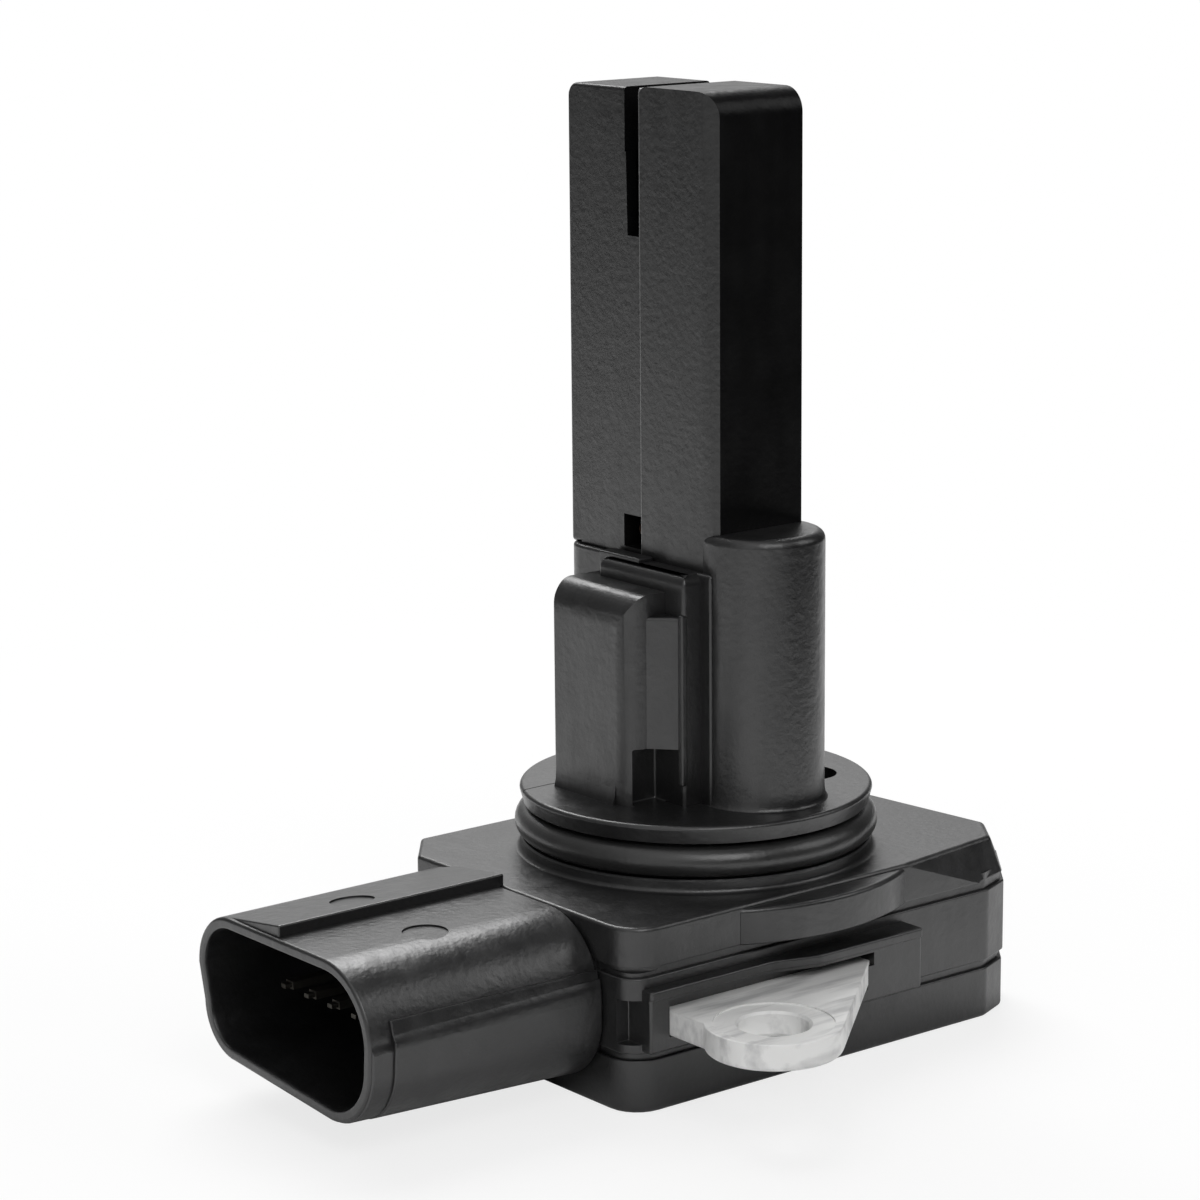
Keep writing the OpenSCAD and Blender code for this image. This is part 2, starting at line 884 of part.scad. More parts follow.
module sensor_carrier() {
    foot_fit = pass_fit;
    color("darkslategray")
        difference() {
            union() {
                block([carrier_x - carrier_w / 2, carrier_face - carrier_t, board_z],
                    [carrier_x + carrier_w / 2, carrier_face, carrier_top]);
                block([stem[0][0] + foot_fit, stem[0][1] + foot_fit, board_z],
                    [stem[1][0] - foot_fit, carrier_face + carrier_shoulder, column_foot]);
            }
            sensor_leads();
            sensing_chip();
        }
}

module sensing_chip() {
    color("gold")
        translate([chip_x - chip[0] / 2, carrier_face - chip[1] / 2, chip_z - chip[2] / 2])
            cube(chip);
}

module air_thermistor() {
    color("saddlebrown")
        difference() {
            translate(bead_at)
                sphere(bead_r, $fn = 48);
            wire_pair(wire_r, board_z, bead_at[2]);
        }
}

module thermistor_leads() {
    color("silver")
        wire_pair(wire_r, board_z, bead_at[2]);
}

module circuit_board() {
    color("linen")
        difference() {
            block([-board_l / 2, -board_w / 2, board_z], [board_l / 2, board_w / 2, plate_bottom]);
            stem_opening(board_z - cut, plate_bottom + cut);
        }
}

module processor_chip() {
    color("black")
        translate([processor_at[0] - processor_w / 2, processor_at[1] - processor_w / 2, board_z - chip_h])
            cube([processor_w, processor_w, chip_h]);
}

module chip_capacitors() {
    color("tan")
        for (at = capacitor_at)
            translate([at[0] - capacitor[0] / 2, at[1] - capacitor[1] / 2, board_z - capacitor[2]])
                cube(capacitor);
}

// Half loop of wire below the board between two pads, along the X or Y axis
module bond_loop(x, y, span, turn) {
    translate([x, y, board_z])
        rotate([90, 0, turn])
            rotate([0, 0, 180])
                rotate_extrude(angle = 180, $fn = 48)
                    translate([span, 0])
                        circle(bond_r, $fn = 16);
}

module bond_wires() {
    color("silver")
        union() {
            for (i = [1:5])
                bond_loop(-bond_edge_x, (i - 3) * terminal_pitch, bond_x_span, 0);
            for (i = [0:3])
                bond_loop(carrier_x + (i - 1.5) * lead_pitch, stem[0][1], bond_y_span, 90);
            for (side = [-1, 1])
                bond_loop(bead_at[0] + side * wire_gap / 2, stem[1][1], bond_y_span, 90);
        }
}

module silicone_gel() {
    color("lightcyan")
        difference() {
            block([-cavity_x, -cavity_y, gel_low], [cavity_x, cavity_y, plate_bottom]);
            circuit_board();
            processor_chip();
            chip_capacitors();
            bond_wires();
            stem_opening(board_z, plate_bottom + cut);
            for (i = [1:5])
                terminal(i);
        }
}

module cover_adhesive() {
    color("white")
        frame_ring(dam_x + glue_gap, dam_y + glue_gap, glue_gap, case_bottom - dam_h, case_bottom);
}

module flange_adhesive() {
    color("white")
        difference() {
            frame_ring(bead_x + glue_gap, bead_y + glue_gap, bead_t, case_top - bead_d, case_top);
            frame_ring(bead_x, bead_y, bead_t - 2 * glue_gap, case_top - tongue_d, case_top + cut);
        }
}

flange_housing();
connector_case();
back_cover();
mounting_plate();
o_ring();
bypass_body();
bypass_cover();
circuit_board();
processor_chip();
chip_capacitors();
sensor_carrier();
sensor_leads();
sensing_chip();
air_thermistor();
thermistor_leads();
terminal(1);  // terminal_1
terminal(2);  // terminal_2
terminal(3);  // terminal_3
terminal(4);  // terminal_4
terminal(5);  // terminal_5
bond_wires();
silicone_gel();
cover_adhesive();
flange_adhesive();
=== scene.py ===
"""Looks of the mass airflow sensor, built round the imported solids. Lengths here are in millimetres."""
import math

import bpy
from mathutils import Matrix, Vector


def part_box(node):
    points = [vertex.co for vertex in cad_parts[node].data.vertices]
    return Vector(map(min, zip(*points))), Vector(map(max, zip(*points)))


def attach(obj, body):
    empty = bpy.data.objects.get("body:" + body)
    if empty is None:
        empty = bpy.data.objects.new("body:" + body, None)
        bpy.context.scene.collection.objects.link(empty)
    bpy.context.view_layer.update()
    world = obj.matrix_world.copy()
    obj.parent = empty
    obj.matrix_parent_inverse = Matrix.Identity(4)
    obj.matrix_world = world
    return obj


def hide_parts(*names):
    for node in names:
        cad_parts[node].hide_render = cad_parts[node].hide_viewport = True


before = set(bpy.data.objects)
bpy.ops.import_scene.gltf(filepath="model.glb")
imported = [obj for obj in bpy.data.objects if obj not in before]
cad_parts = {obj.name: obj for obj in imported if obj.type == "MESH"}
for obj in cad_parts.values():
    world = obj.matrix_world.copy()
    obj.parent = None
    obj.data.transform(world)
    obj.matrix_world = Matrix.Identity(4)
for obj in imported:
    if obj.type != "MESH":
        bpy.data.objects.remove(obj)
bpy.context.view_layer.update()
MM = 0.001


def low(node):
    """Lowest corner of a CAD node, in millimetres."""
    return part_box(node)[0] / MM


def high(node):
    """Highest corner of a CAD node, in millimetres."""
    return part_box(node)[1] / MM


# Base, from the frame
BASE_LEFT = low("flange_housing").x
BASE_RIGHT = high("back_cover").x
BASE_FRONT = low("back_cover").y
BASE_BACK = high("back_cover").y
FLOOR_Z = low("back_cover").z
CASE_BOTTOM = high("back_cover").z
CASE_TOP = high("flange_adhesive").z
PLATE_TOP = high("mounting_plate").z
PLATE_BOTTOM = low("mounting_plate").z

# How far a tool runs past the face that it cuts, and what keeps two faces out of one plane
OVER = 1
HAIR = 0.001

# Base: the corners at the front right are (in from the right, back from the front, rounding)
JOINT_LINE = 0.35
CORNER_R = 3
CASE_NOTCH = 1.9
EDGE_R = 0.5
SOFT_R = 0.15
SOFT_BEND = 0.04
RIGHT_CORNERS = ((5.7, 0, 1.5), (2.7, 1.2, 0.8), (0, 4.4, EDGE_R))
SIDE_TAPER = 2.3
BACK_CUT = 4
BACK_LEFT_IN = 3.24
BACK_RIGHT_IN = 5.36
COVER_IN = 0.1

# Flange: LEAN is how far its right side leans in at the top
LEAN = 1.4
TOP_FRONT_END = 8.6
TOP_CORNERS = ((BASE_RIGHT - LEAN - TOP_FRONT_END, 0, 1.5), (4 - LEAN, 1.6, 0.8), (0, 5.1, EDGE_R))
TOP_BACK_IN = 5.6
FLANGE_EDGE_R = 0.35
BULGE_R = -low("flange_housing").y
BULGE_TOP = -0.3
BULGE_HALF = 8.8
BULGE_CHORD = -15

# Spigot
SPIGOT_R = 14.57
SPIGOT_ROOT_R = 0.4
LIP_Z = 5.46
LIP_EDGE_R = 0.35
LIP_DRAFT = 0.3
RING_Z = (low("o_ring").z + high("o_ring").z) / 2
RING_CORD_R = (high("o_ring").z - low("o_ring").z) / 2
RING_R = high("o_ring").x - RING_CORD_R
GROOVE_R = RING_R - RING_CORD_R
GROOVE_LOW = low("o_ring").z - 0.01
GROOVE_HIGH = 4
GROOVE_BEVEL = 0.15
CORE_OUT = (8.45, -4.6)
CORE_OUT_R = 2.3
CORE_OUT_DEPTH = 3
PARTING_Y = (6.45, 6.58)
PARTING_DEPTH = 0.12

# Column: a slant is (across, along) at its front left edge
COLUMN_LEFT = low("bypass_cover").x
COLUMN_RIGHT = high("bypass_cover").x
COLUMN_X = (COLUMN_LEFT + COLUMN_RIGHT) / 2
COLUMN_FRONT = low("bypass_cover").y
COLUMN_BACK = high("bypass_body").y
SEAM_Y = high("bypass_cover").y
COLUMN_TOP = high("bypass_cover").z
LEFT_TOP = high("bypass_body").z
COLUMN_FOOT = low("bypass_cover").z
COLUMN_GAP = 0.05
HALF_STEP = 0.25
COLUMN_SLANT = (0.6, 1.5)
POCKET_SLANT = (0.3, 1.7)
COLUMN_BEVEL = 0.32
SEAM_EDGE_R = 0.25
TIP_R = 2
TIP_SEAM_R = 1.2
TIP_BEND = COLUMN_TOP - 2
BACK_R = 1.1
SLOT_W = 1.75
SLOT_TAPER = 0.3
SLOT_Y = SEAM_Y + 0.2
SLOT_LOW = COLUMN_TOP - 12
NOTCH_LOW = COLUMN_TOP - 5.3
WINDOW_Y = (SEAM_Y - 0.05, SEAM_Y + 2.35)
WINDOW_Z = (25, 27.7)
TENON_SET_IN = 1.4

# Air passage, and the pocket of the sensor carrier that ends in it
DUCT_D = 4.45
DUCT_IN = 0.7
DUCT_OUT = 3.3
BEND_Z = 33
INLET_LOW = COLUMN_TOP - 15.3
INLET_H = 8
CARRIER_HALF = 3.15
CARRIER_D = 1.25
CARRIER_TOP = 42.05

# Sleeve: two lobes, the web between them and the wall behind
ROUND_TOP = high("flange_housing").z
ROUND_X = COLUMN_X + 0.33
ROUND_R = 5.13
ROUND_RIM_R = 0.8
FLARE = 0.3
FLARE_H = 1.6
FLARE_BEND = (0.12, 0.7)
FLAT_TOP = 22.8
FLAT_X = -10
FLAT_FRONT = -3.8
FLAT_BACK = 6.2
FLAT_R = 1.9
FLAT_BACK_R = 0.35
HIDDEN_R = 0.1
SHOULDER_H = 2.9
WEB_TOP = 24.4
WEB_X = COLUMN_LEFT - 2.2
WEB_BACK = 4.7
WEB_FRONT = -6.1
WEB_R = 0.9
SLOPE_LOW = 10.2
SLOPE_HIGH = WEB_TOP - 3.4
SLOPE_BACK = FLAT_FRONT + 0.8
SLOPE_FRONT = WEB_FRONT + 0.35
RIB_LOW = 7.2
RIB_HIGH = WEB_TOP - 3.2
CLIP_Y = (0.3, 5.4)
CLIP_H = 0.35
SLEEVE_RIGHT = COLUMN_RIGHT + 1.2
SLEEVE_LEFT = COLUMN_LEFT - 0.45
SLEEVE_BACK = COLUMN_BACK + 0.4
SLEEVE_R = 2.4
TOP_EDGE_R = 0.3

# Connector: corners are (y, z, r) at the mouth, and what is added to them at the base
MOUTH_X = low("connector_case").x
MOUTH_CORNERS = [(-5.8, -6, 6), (-6.4, -7.4, 5.3), (6.8, -7.4, 4.2), (7.2, -4.5, 4.5)]
ROOT_GROWTH = [(-0.3, -0.15, 0.15), (-0.2, -0.4, 0.35), (0.2, -0.5, 0.2), (0.1, 0, 0)]
CORNER_STEPS = 14
SHROUD_WALL = 0.95
SHROUD_EDGE_R = 0.3
ROOT_OUT = 0.6
SIDE_Y = -11.7
SOCKET_DEPTH = 18
SOCKET_TAPER = 0.35

# The socket's rounded rim: (distance behind the mouth, how much thinner the wall is)
SOCKET_RIM = [(-1, 0.5), (0, 0.28), (0.1, 0.1), (0.35, 0)]

# Ledges under the shroud's side: (distance behind the mouth, height of the top, how far out)
LEDGES = [(0.2, -5.6, 0.25), (2, -4.55, 0.55), (2, -3.85, 0.3)]
LEDGE_SLOPE = 1.7
LEDGE_DRIFT = -0.027
STEP_H = high("connector_case").z
STEP_Y = 0.6
STEP_BACK_Y = 7.75
STEP_SUNK = 0.03
STEP_EDGE_R = 0.18
STEP_SLOPE = (STEP_H + STEP_SUNK) / (STEP_BACK_Y - STEP_Y)
STEP_OVERLAP = 0.4
MARKS = [(MOUTH_X + 9.3, 3.6), (MOUTH_X + 9.9, -5.3)]
MARK_R = 1.8
MARK_DEPTH = 0.14

# Ear pads
PAD_TOP = CASE_TOP - 1.2
PAD_BOTTOM = CASE_BOTTOM + 0.5
PAD_LIP = 0.8
PAD_LEFT = -18.7
PAD_RIGHT = 8.8
PAD_LOW = BASE_FRONT - 1.05
PAD_HIGH = low("connector_case").y
PAD_BEND_X = (-6.2, -2.4)
PAD_BEND_R = 2.5
PAD_EDGE_R = 0.3
PAD_SET_BACK = 0.15
NECK_LOW = PLATE_TOP - 0.3
NECK_HIGH = PLATE_TOP + 0.8
END_POCKET_W = 1.3
END_POCKET_D = 1.8

# Plate and ears
PLATE_X = (-13.6, 15.5)
PLATE_IN = 3.9
HOLE = (-12.45, -24.05)
HOLE_R = 2.8
HOLE_FLARE = 0.3
HOLE_BEVEL = 0.2
EAR_R = 5.4
EAR_ROOT = (3.5, -17.5)
EAR_FLANK = -16.8
EAR_EDGE_R = 0.45
SPOT_R = 4.7
SPOT_DEPTH = 0.12


# Outlines

def arc(cx, cy, r, start, end, steps):
    """Points along an arc, in degrees."""
    turn = [math.radians(start + (end - start) * i / steps) for i in range(steps + 1)]
    return [(cx + r * math.cos(a), cy + r * math.sin(a)) for a in turn]


def quarter(steps):
    """Angles over a quarter turn, in radians."""
    return [math.pi / 2 * k / steps for k in range(steps + 1)]


def fillet(corners, steps=6):
    """Outline whose corners (x, y, r) are rounded by r."""
    out = []
    count = len(corners)
    for i, (x, y, r) in enumerate(corners):
        here = Vector((x, y))
        before = (Vector(corners[i - 1][:2]) - here).normalized()
        after = (Vector(corners[(i + 1) % count][:2]) - here).normalized()
        if r <= 0:
            out.append((x, y))
            continue
        half = math.acos(max(-1, min(1, before.dot(after)))) / 2
        reach = r / math.tan(half)
        centre = here + (before + after).normalized() * (r / math.sin(half))
        first = here + before * reach - centre
        last = here + after * reach - centre
        sweep = math.atan2(first.x * last.y - first.y * last.x, first.dot(last))
        for k in range(steps + 1):
            a = sweep * k / steps
            c, s = math.cos(a), math.sin(a)
            out.append((centre.x + first.x * c - first.y * s, centre.y + first.x * s + first.y * c))
    return out


def inset(outline, d):
    """Outline moved inwards by d; it runs anticlockwise."""
    if d == 0:
        return list(outline)
    out = []
    count = len(outline)
    for i, p in enumerate(outline):
        here = Vector(p)
        into = (here - Vector(outline[i - 1])).normalized()
        away = (Vector(outline[(i + 1) % count]) - here).normalized()
        n1 = Vector((-into.y, into.x))
        n2 = Vector((-away.y, away.x))
        shift = (n1 + n2) / max(0.3, 1 + n1.dot(n2))
        out.append(tuple(here + shift * d))
    return out


# Solids

def add_mesh(name, points, faces):
    """New object from points in millimetres."""
    mesh = bpy.data.meshes.new(name)
    mesh.from_pydata([tuple(c * MM for c in p) for p in points], [], faces)
    mesh.validate()
    obj = bpy.data.objects.new(name, mesh)
    bpy.context.scene.collection.objects.link(obj)
    return obj


def stack(name, rings):
    """Closed solid through rings of points, from the lowest ring up."""
    n = len(rings[0])
    points = [p for ring in rings for p in ring]
    faces = [tuple(range(n - 1, -1, -1)), tuple(range(len(points) - n, len(points)))]
    for level in range(len(rings) - 1):
        a, b = level * n, (level + 1) * n
        faces += [(a + i, a + (i + 1) % n, b + (i + 1) % n, b + i) for i in range(n)]
    return add_mesh(name, points, faces)


def prism(name, outline, z0, z1, r_low=0.0, r_high=0.0):
    """Upright solid of an outline, with its lower and upper edges rounded."""
    levels = [(0, z0)]
    if r_low:
        levels = [(r_low * (1 - math.sin(t)), z0 + r_low * (1 - math.cos(t))) for t in quarter(5)]
    if r_high:
        levels += [(r_high * (1 - math.cos(t)), z1 - r_high * (1 - math.sin(t))) for t in quarter(5)]
    else:
        levels.append((0, z1))
    return stack(name, [[(x, y, z) for x, y in inset(outline, d)] for d, z in levels])


def slab(name, a, b, r=0.0, corner=0.0):
    """Box between two corners with rounded edges."""
    (x0, y0, z0), (x1, y1, z1) = a, b
    outline = fillet([(x0, y0, corner), (x1, y0, corner), (x1, y1, corner), (x0, y1, corner)])
    return prism(name, outline, z0, z1, r, r)


def lathe(name, profile, centre=(0, 0), segments=160):
    """Turned solid through the points (r, z) of a profile, lowest first."""
    around = [math.tau * i / segments for i in range(segments)]
    return stack(name, [[(centre[0] + r * math.cos(a), centre[1] + r * math.sin(a), z) for a in around]
                        for r, z in profile])


def torus(name, major, minor, z, segments=200, sides=32):
    """Ring round the axis."""
    points = []
    for i in range(segments):
        a = math.tau * i / segments
        for j in range(sides):
            b = math.tau * j / sides
            r = major + minor * math.cos(b)
            points.append((r * math.cos(a), r * math.sin(a), z + minor * math.sin(b)))
    faces = []
    for i in range(segments):
        for j in range(sides):
            k, m = (i + 1) % segments, (j + 1) % sides
            faces.append((i * sides + j, k * sides + j, k * sides + m, i * sides + m))
    return add_mesh(name, points, faces)


def turned(obj, matrix):
    """The object with its mesh moved by a matrix."""
    obj.data.transform(matrix)
    if matrix.determinant() < 0:
        obj.data.flip_normals()
    return obj


# Turns an upright solid so that its height runs along Y, or along X
ALONG_Y = Matrix(((1, 0, 0, 0), (0, 0, -1, 0), (0, 1, 0, 0), (0, 0, 0, 1)))
ALONG_X = Matrix(((0, 0, 1, 0), (1, 0, 0, 0), (0, 1, 0, 0), (0, 0, 0, 1)))


def applied(obj):
    """The object with its modifiers turned into mesh."""
    bpy.context.view_layer.update()
    shown = obj.evaluated_get(bpy.context.evaluated_depsgraph_get())
    mesh = bpy.data.meshes.new_from_object(shown)
    obj.modifiers.clear()
    obj.data = mesh
    mesh.name = obj.name
    return obj


def combine(base, others, operation):
    """Joins or cuts the other solids into the base, and deletes them."""
    for other in others:
        step = base.modifiers.new("step", "BOOLEAN")
        step.operation = operation
        step.solver = "MANIFOLD"
        step.object = other
        applied(base)
        bpy.data.objects.remove(other)
    return base


def join(base, *others):
    return combine(base, others, "UNION")


def cut(base, *others):
    return combine(base, others, "DIFFERENCE")


def meet(base, *others):
    return combine(base, others, "INTERSECT")


def bevelled(obj, width, segments=3, angle=40):
    """Rounds the sharp edges of a solid."""
    step = obj.modifiers.new("edge", "BEVEL")
    step.width = width * MM
    step.segments = segments
    step.limit_method = "ANGLE"
    step.angle_limit = math.radians(angle)
    return applied(obj)


def shade(obj, angle=32):
    """Smooth faces with sharp creases, and flat faces that stay flat."""
    mesh = obj.data
    mesh.polygons.foreach_set("use_smooth", [True] * len(mesh.polygons))
    mesh.set_sharp_from_angle(angle=math.radians(angle))
    weighted = obj.modifiers.new("weighted", "WEIGHTED_NORMAL")
    weighted.keep_sharp = True
    weighted.weight = 80
    return obj


# Materials

def new_material(name):
    """New material with one shader: the material, its node tree and the shader."""
    material = bpy.data.materials.new(name)
    material.use_nodes = True
    nodes = material.node_tree.nodes
    nodes.clear()
    out = nodes.new("ShaderNodeOutputMaterial")
    shader = nodes.new("ShaderNodeBsdfPrincipled")
    material.node_tree.links.new(shader.outputs["BSDF"], out.inputs["Surface"])
    return material, material.node_tree, shader


def noise(tree, scale, detail, stretch=(1, 1, 1)):
    """Noise over the object's own coordinates; scale is waves per metre."""
    nodes, links = tree.nodes, tree.links
    where = nodes.new("ShaderNodeTexCoord")
    fit = nodes.new("ShaderNodeMapping")
    fit.inputs["Scale"].default_value = stretch
    texture = nodes.new("ShaderNodeTexNoise")
    texture.inputs["Scale"].default_value = scale
    texture.inputs["Detail"].default_value = detail
    links.new(where.outputs["Object"], fit.inputs["Vector"])
    links.new(fit.outputs["Vector"], texture.inputs["Vector"])
    return texture.outputs["Fac"]


def blend_colors(tree, factor, dark, light, start=0.35, end=0.65):
    """Colour between two shades along a factor."""
    ramp = tree.nodes.new("ShaderNodeValToRGB")
    ramp.color_ramp.elements[0].position = start
    ramp.color_ramp.elements[0].color = (*dark, 1)
    ramp.color_ramp.elements[1].position = end
    ramp.color_ramp.elements[1].color = (*light, 1)
    tree.links.new(factor, ramp.inputs["Fac"])
    return ramp.outputs["Color"]


def spread(tree, factor, least, most, start=0.3, end=0.7):
    """A factor's range turned into another range."""
    fit = tree.nodes.new("ShaderNodeMapRange")
    fit.inputs["From Min"].default_value = start
    fit.inputs["From Max"].default_value = end
    fit.inputs["To Min"].default_value = least
    fit.inputs["To Max"].default_value = most
    tree.links.new(factor, fit.inputs["Value"])
    return fit.outputs["Result"]


def along(tree, vector, direction):
    """Distance of a vector along a direction."""
    dot = tree.nodes.new("ShaderNodeVectorMath")
    dot.operation = "DOT_PRODUCT"
    dot.inputs[1].default_value = direction
    tree.links.new(vector, dot.inputs[0])
    return dot.outputs["Value"]


def times(tree, a, b):
    """Product of two values."""
    product = tree.nodes.new("ShaderNodeMath")
    product.operation = "MULTIPLY"
    tree.links.new(a, product.inputs[0])
    tree.links.new(b, product.inputs[1])
    return product.outputs["Value"]


def bump(tree, shader, height, distance, strength):
    """Relief of a shader's surface; distance is in metres."""
    relief = tree.nodes.new("ShaderNodeBump")
    relief.inputs["Distance"].default_value = distance
    relief.inputs["Strength"].default_value = strength
    tree.links.new(height, relief.inputs["Height"])
    tree.links.new(relief.outputs["Normal"], shader.inputs["Normal"])


# The painted highlight line on the column's seam: its middle in Y, and its half width from full to none, in
# metres
SEAM_HIGHLIGHT_Y = (SEAM_Y - 0.03) * MM
SEAM_HIGHLIGHT_WIDTH = (0.00014, 0.00022)
SEAM_HIGHLIGHT_GREY = (0.22, 0.22, 0.22)


def painted_seam_highlight(tree, color):
    """Lightens the plastic along the column's seam: a painted highlight line, broken up by noise."""
    where = tree.nodes.new("ShaderNodeTexCoord")
    off = tree.nodes.new("ShaderNodeMath")
    off.operation = "SUBTRACT"
    off.inputs[1].default_value = SEAM_HIGHLIGHT_Y
    tree.links.new(along(tree, where.outputs["Object"], (0, 1, 0)), off.inputs[0])
    size = tree.nodes.new("ShaderNodeMath")
    size.operation = "ABSOLUTE"
    tree.links.new(off.outputs["Value"], size.inputs[0])
    band = spread(tree, size.outputs["Value"], 1.0, 0.0, *SEAM_HIGHLIGHT_WIDTH)
    patchy = spread(tree, noise(tree, 500, 5, (1, 1, 0.15)), 0.25, 1.0, 0.35, 0.55)
    mix = tree.nodes.new("ShaderNodeMixRGB")
    mix.inputs["Color2"].default_value = (*SEAM_HIGHLIGHT_GREY, 1)
    tree.links.new(times(tree, band, patchy), mix.inputs["Fac"])
    tree.links.new(color, mix.inputs["Color1"])
    return mix.outputs["Color"]


# Plastic: its sheen, and the faces towards the front and top on which it falls to a lower level, as painted
# shade
MOULDED_IOR = 1.6
MOULDED_SHEEN = 0.75
SHADED_SIDE = (0, -0.707, 0.707)
SHADED_FACES = (0.5, 0.68)
GRAIN_H = 0.00012


def moulded(name, dark, light, rough, grain=1700, relief=0.35, shaded_sheen=MOULDED_SHEEN, seam=False):
    """Moulding with a fine grain and a cloudy sheen; the sheen on the faces towards the front and top is
    given apart, lowered there as painted shade.
    """
    material, tree, shader = new_material(name)
    color = blend_colors(tree, noise(tree, 160, 5), dark, light)
    # Painted highlight along the column's seam
    if seam:
        color = painted_seam_highlight(tree, color)
    tree.links.new(color, shader.inputs["Base Color"])
    clouds = times(tree, noise(tree, 420, 6), noise(tree, 700, 5, (1, 1, 0.1)))
    tree.links.new(spread(tree, clouds, rough - 0.04, rough + 0.07, 0.12, 0.4), shader.inputs["Roughness"])
    # Painted shade: the sheen falls on faces towards the front and top
    where = tree.nodes.new("ShaderNodeTexCoord")
    face = along(tree, where.outputs["Normal"], SHADED_SIDE)
    tree.links.new(spread(tree, face, MOULDED_SHEEN, shaded_sheen, *SHADED_FACES), shader.inputs["Specular IOR Level"])
    bump(tree, shader, noise(tree, grain, 6), GRAIN_H, relief)
    shader.inputs["IOR"].default_value = MOULDED_IOR
    return material


def plain(name, color, rough, metallic=0.0):
    """Even surface with a little variation, for the small pieces."""
    material, tree, shader = new_material(name)
    darker = tuple(c * 0.82 for c in color)
    tree.links.new(blend_colors(tree, noise(tree, 700, 4), darker, color), shader.inputs["Base Color"])
    tree.links.new(spread(tree, noise(tree, 900, 5), rough - 0.06, rough + 0.06), shader.inputs["Roughness"])
    shader.inputs["Metallic"].default_value = metallic
    bump(tree, shader, noise(tree, 3000, 3), 0.00002, 0.15)
    return material


def milled_metal():
    """Bright aluminium with milling streaks across the ears."""
    material, tree, shader = new_material("milled_aluminium")
    streaks = noise(tree, 420, 6, (0.22, 1.6, 1))
    tree.links.new(blend_colors(tree, streaks, (0.6, 0.6, 0.6), (0.9, 0.9, 0.89), 0.34, 0.52),
                   shader.inputs["Base Color"])
    tree.links.new(spread(tree, noise(tree, 900, 5, (0.3, 1.5, 1)), 0.5, 0.66), shader.inputs["Roughness"])
    shader.inputs["Metallic"].default_value = 0.35
    bump(tree, shader, noise(tree, 1100, 5, (0.2, 1.5, 1)), 0.00016, 0.5)
    return material


HOUSING = moulded("housing_moulding", (0.006, 0.006, 0.0064), (0.0095, 0.0095, 0.01), 0.35)
# Column: painted shade lowers the sheen on its front and top faces to 0.12, and its seam gets a painted
# highlight
COLUMN = moulded("column_moulding", (0.0035, 0.0035, 0.0037), (0.006, 0.006, 0.0062), 0.33,
                 shaded_sheen=0.12, seam=True)
RUBBER = moulded("seal_rubber", (0.012, 0.012, 0.012), (0.02, 0.02, 0.02), 0.34, 2600, 0.2)
METAL = milled_metal()


# Pieces

def base_outline(corner, lean=0, right_corners=RIGHT_CORNERS, back_in=BACK_RIGHT_IN):
    """Plan of the base: corner rounds its front left, and lean moves its right side in."""
    right = BASE_RIGHT - lean
    return fillet([
        (BASE_LEFT, BASE_FRONT, corner),
        *((right - x, BASE_FRONT + y, r) for x, y, r in right_corners),
        (right - SIDE_TAPER, BASE_BACK - BACK_CUT, EDGE_R),
        (right - back_in, BASE_BACK, EDGE_R),
        (BASE_LEFT + BACK_LEFT_IN, BASE_BACK, EDGE_R),
        (BASE_LEFT, BASE_BACK - BACK_CUT, EDGE_R)])


def flange_slab():
    """Flange between the plan at its foot and the one at its top."""
    lower = base_outline(CORNER_R)
    upper = base_outline(CORNER_R, LEAN, TOP_CORNERS, TOP_BACK_IN)
    bottom = CASE_TOP + JOINT_LINE
    levels = [(SOFT_R, bottom), (SOFT_BEND, bottom + SOFT_BEND), (0, bottom + SOFT_R)]
    levels += [(FLANGE_EDGE_R * (1 - math.cos(t)), -FLANGE_EDGE_R * (1 - math.sin(t))) for t in quarter(5)]
    rings = []
    for d, z in levels:
        share = 1 - z / CASE_TOP
        plan = [(x + (u - x) * share, y + (v - y) * share) for (x, y), (u, v) in zip(lower, upper)]
        rings.append([(x, y, z) for x, y in inset(plan, d)])
    return stack("flange_moulding", rings)


def column_plan(grow, slant):
    """Plan of the column from the front to the seam, with the slant at its front left edge."""
    left, right, front = COLUMN_LEFT - grow, COLUMN_RIGHT + grow, COLUMN_FRONT - grow
    return [(left, front + slant[1]), (left + slant[0], front), (right, front),
            (right, SEAM_Y), (left, SEAM_Y)]


def duct(y0, y1):
    """Air passage: a leg down from the inlet, a bend and a leg up to the slot."""
    x = COLUMN_X
    right = COLUMN_RIGHT + OVER
    outline = [(x - DUCT_OUT, NOTCH_LOW)]
    outline += arc(x, BEND_Z, DUCT_OUT, 180, 360, 32)
    outline += [(x + DUCT_OUT, INLET_LOW), (right, INLET_LOW), (right, INLET_LOW + INLET_H),
                (x + DUCT_IN, INLET_LOW + INLET_H)]
    outline += arc(x, BEND_Z, DUCT_IN, 360, 180, 16)
    outline += [(x - DUCT_IN, NOTCH_LOW)]
    return turned(prism("duct", outline, -y1, -y0), ALONG_Y)


def make_spigot():
    """Spigot with a rounded root, the O-ring's groove and a drafted lip with a rounded edge."""
    profile = [(SPIGOT_R + SPIGOT_ROOT_R, -OVER)]
    profile += [(SPIGOT_R + SPIGOT_ROOT_R * (1 - math.sin(t)), SPIGOT_ROOT_R * (1 - math.cos(t)))
                for t in quarter(5)]
    profile += [(SPIGOT_R, GROOVE_LOW - GROOVE_BEVEL), (SPIGOT_R - GROOVE_BEVEL, GROOVE_LOW),
                (GROOVE_R, GROOVE_LOW), (GROOVE_R, GROOVE_HIGH), (SPIGOT_R - LIP_DRAFT, GROOVE_HIGH)]
    profile += [(SPIGOT_R - LIP_EDGE_R * (1 - math.cos(t)), LIP_Z - LIP_EDGE_R * (1 - math.sin(t)))
                for t in quarter(5)]
    return lathe("spigot", profile)


